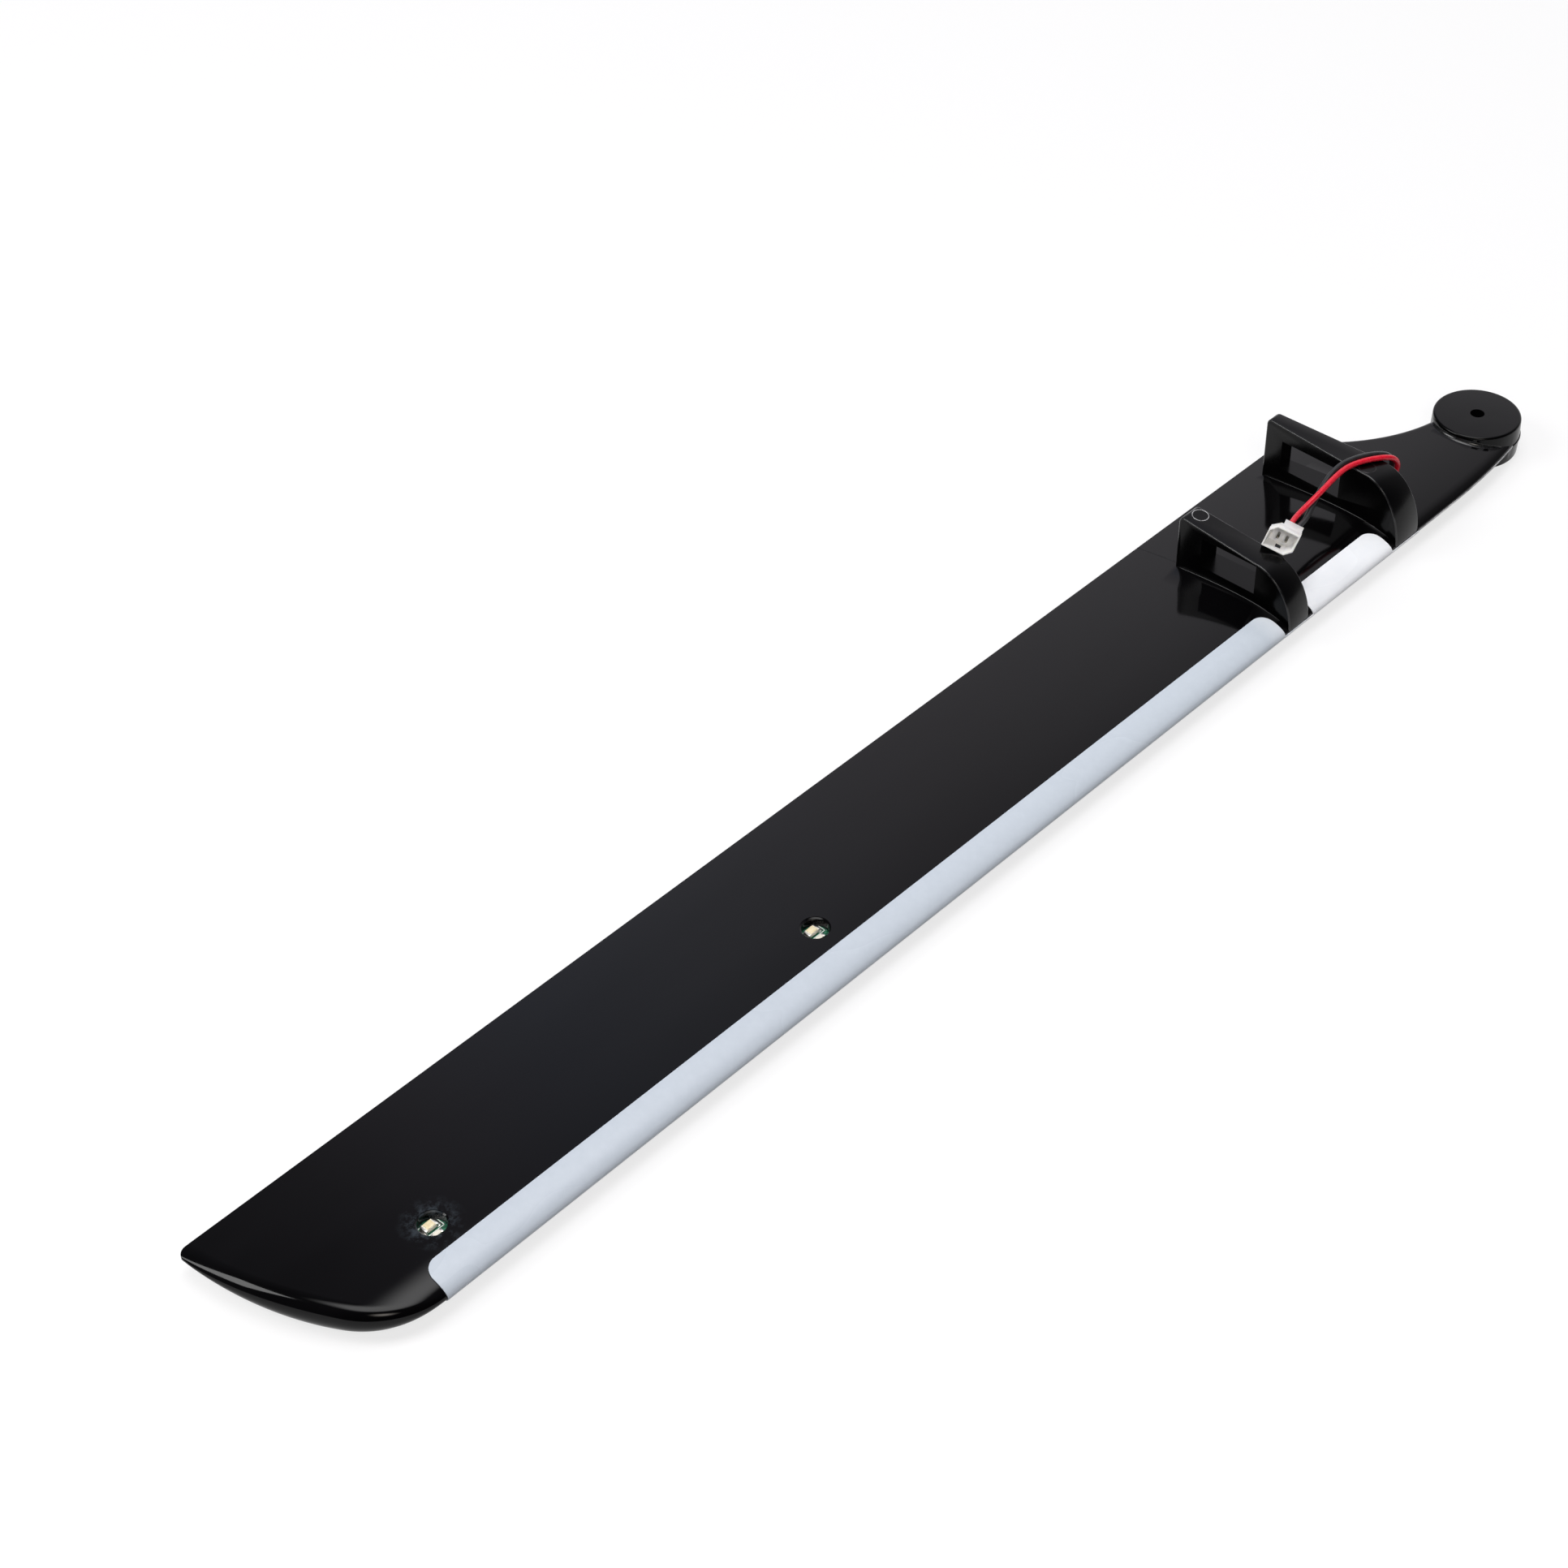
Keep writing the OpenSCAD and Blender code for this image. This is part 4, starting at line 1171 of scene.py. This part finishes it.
# Colour of the surround by how far a way points to the root end, and its share by how far it
# points to the leading edge
PANEL_STOPS = (
    (0.0, (0.10, 0.10, 0.11)),
    (0.33, (0.16, 0.16, 0.18)),
    (0.376, (0.30, 0.29, 0.33)),
    (0.411, (0.52, 0.50, 0.58)),
    (0.455, (0.64, 0.68, 0.83)),
    (0.496, (0.76, 0.78, 0.90)),
    (0.568, (0.80, 0.77, 0.84)),
    (0.68, (0.88, 0.86, 0.91)),
    (1.0, (0.92, 0.90, 0.94)),
)
FRONT_STOPS = ((0.0, (1.0, 1.0, 1.0)), (0.3, (0.34, 0.34, 0.34)), (0.7, (0.14, 0.14, 0.14)))
# Floor: half its width in metres, its own colour, what it throws back on the blade, and its share
# of plain white in the picture
FLOOR_HALF = 20.0
FLOOR_COLOUR = (0.9, 0.895, 0.905)
FLOOR_BOUNCE = (0.25, 0.25, 0.265)
FLOOR_WHITE = 0.7
WARM_LIGHT = (1, 0.93, 0.85)


def build_floor():
    """Plain pale floor under the blade, which keeps the shadow."""
    level = -BOSS_HALF * MM
    mesh = bpy.data.meshes.new("floor")
    corners = [(x * FLOOR_HALF, y * FLOOR_HALF, level) for x, y in ((-1, -1), (1, -1), (1, 1), (-1, 1))]
    mesh.from_pydata(corners, [], [(0, 1, 2, 3)])
    floor = add_object("floor", mesh)
    m = Nodes("pale_floor")
    m.put(roughness=0.7, specular_ior_level=0.1)
    tree = m.tree
    glow = tree.nodes.new("ShaderNodeEmission")
    glow.inputs["Color"].default_value = (1, 1, 1, 1)
    path = tree.nodes.new("ShaderNodeLightPath")
    m.colour(m.mix(path.outputs["Is Diffuse Ray"], FLOOR_COLOUR, FLOOR_BOUNCE))
    seen = m.math("MAXIMUM", path.outputs["Is Camera Ray"], path.outputs["Is Glossy Ray"])
    seen = m.math("MAXIMUM", seen, path.outputs["Is Transmission Ray"])
    blend = tree.nodes.new("ShaderNodeMixShader")
    m.link(m.math("MULTIPLY", seen, FLOOR_WHITE), blend.inputs["Fac"])
    m.link(m.shader.outputs["BSDF"], blend.inputs[1])
    m.link(glow.outputs["Emission"], blend.inputs[2])
    m.link(blend.outputs["Shader"], tree.nodes["Material Output"].inputs["Surface"])
    mesh.materials.append(m.material)


def way_ramp(tree, way, stops):
    """Colour by how far a direction of the surround points along a way."""
    coords = tree.nodes.new("ShaderNodeTexCoord")
    facing = tree.nodes.new("ShaderNodeVectorMath")
    facing.operation = "DOT_PRODUCT"
    facing.inputs[1].default_value = way
    tree.links.new(coords.outputs["Generated"], facing.inputs[0])
    ramp = tree.nodes.new("ShaderNodeValToRGB")
    set_stops(ramp, stops)
    tree.links.new(facing.outputs["Value"], ramp.inputs["Fac"])
    return ramp.outputs["Color"]


def build_world():
    """Studio surround: a large pale panel beyond the root, dim elsewhere."""
    world = bpy.data.worlds.new("studio")
    world.use_nodes = True
    bpy.context.scene.world = world
    tree = world.node_tree
    background = tree.nodes["Background"]
    tree.links.new(way_ramp(tree, (-1, 0, 0), PANEL_STOPS), background.inputs["Color"])
    tree.links.new(way_ramp(tree, (0, 1, 0), FRONT_STOPS), background.inputs["Strength"])


def fade_rim(light, core):
    """Brightness of a softbox that fades from an even core, a share of its size, to its rim."""
    light.use_nodes = True
    tree = light.node_tree
    place = tree.nodes.new("ShaderNodeNewGeometry")
    reach = tree.nodes.new("ShaderNodeVectorMath")
    reach.operation = "DISTANCE"
    reach.inputs[1].default_value = (0.5, 0.5, 0)
    fade = tree.nodes.new("ShaderNodeMapRange")
    fade.interpolation_type = "SMOOTHSTEP"
    fade.inputs["From Min"].default_value = 0.5
    fade.inputs["From Max"].default_value = core / 2
    tree.links.new(place.outputs["Parametric"], reach.inputs[0])
    tree.links.new(reach.outputs["Value"], fade.inputs["Value"])
    tree.links.new(fade.outputs["Result"], tree.nodes["Emission"].inputs["Strength"])


def add_softbox(name, place, target, size, power, tint=(1, 1, 1), mirrored=True, core=None):
    """A soft light aimed at a point, in metres, mirrored in gloss or not, with a soft rim or not."""
    light = bpy.data.lights.new(name, "AREA")
    light.shape = "RECTANGLE"
    light.size, light.size_y = size
    light.energy = power
    light.color = tint
    if core is not None:
        fade_rim(light, core)
    lamp = add_object(name, light)
    lamp.location = place
    lamp.rotation_euler = (Vector(target) - Vector(place)).to_track_quat("-Z", "Y").to_euler()
    lamp.visible_glossy = mirrored


def build_camera():
    """The photograph's viewpoint."""
    data = bpy.data.cameras.new("camera")
    data.lens = LENS
    data.sensor_width = SENSOR
    data.clip_start = 0.01
    camera = add_object("camera", data)
    right, up = Vector(CAMERA_RIGHT).normalized(), Vector(CAMERA_UP).normalized()
    turn = Matrix((right, up, right.cross(up))).transposed().to_4x4()
    camera.matrix_world = Matrix.Translation(Vector(CAMERA_POS) * MM) @ turn
    bpy.context.scene.camera = camera


build_camera()
build_blade()
build_film()
for light_key in LIGHT_XS:
    build_board(light_key)
    for light_face in ("upper", "lower"):
        build_chip(light_key, light_face)
housing, contact_pins = build_connector()
build_leads(contact_pins)
dress_inner_wires()
build_floor()
build_world()
add_softbox("top", (0.1, -0.05, 0.9), (0.1, 0, 0), (1.1, 0.75), 12.4, core=0.4)
add_softbox("front", (0.48, 0.48, 0.58), (0.22, 0, 0), (0.42, 0.42), 4.6, WARM_LIGHT, core=0.0)
add_softbox("back", (0.77, -0.55, 0.77), (0.04, 0, 0), (0.5, 0.4), 5.0)
add_softbox("fill", (0.62, 0.42, 0.6), (0.05, 0, 0), (0.4, 0.4), 2.0, mirrored=False)
bpy.context.scene.view_settings.view_transform = "Standard"
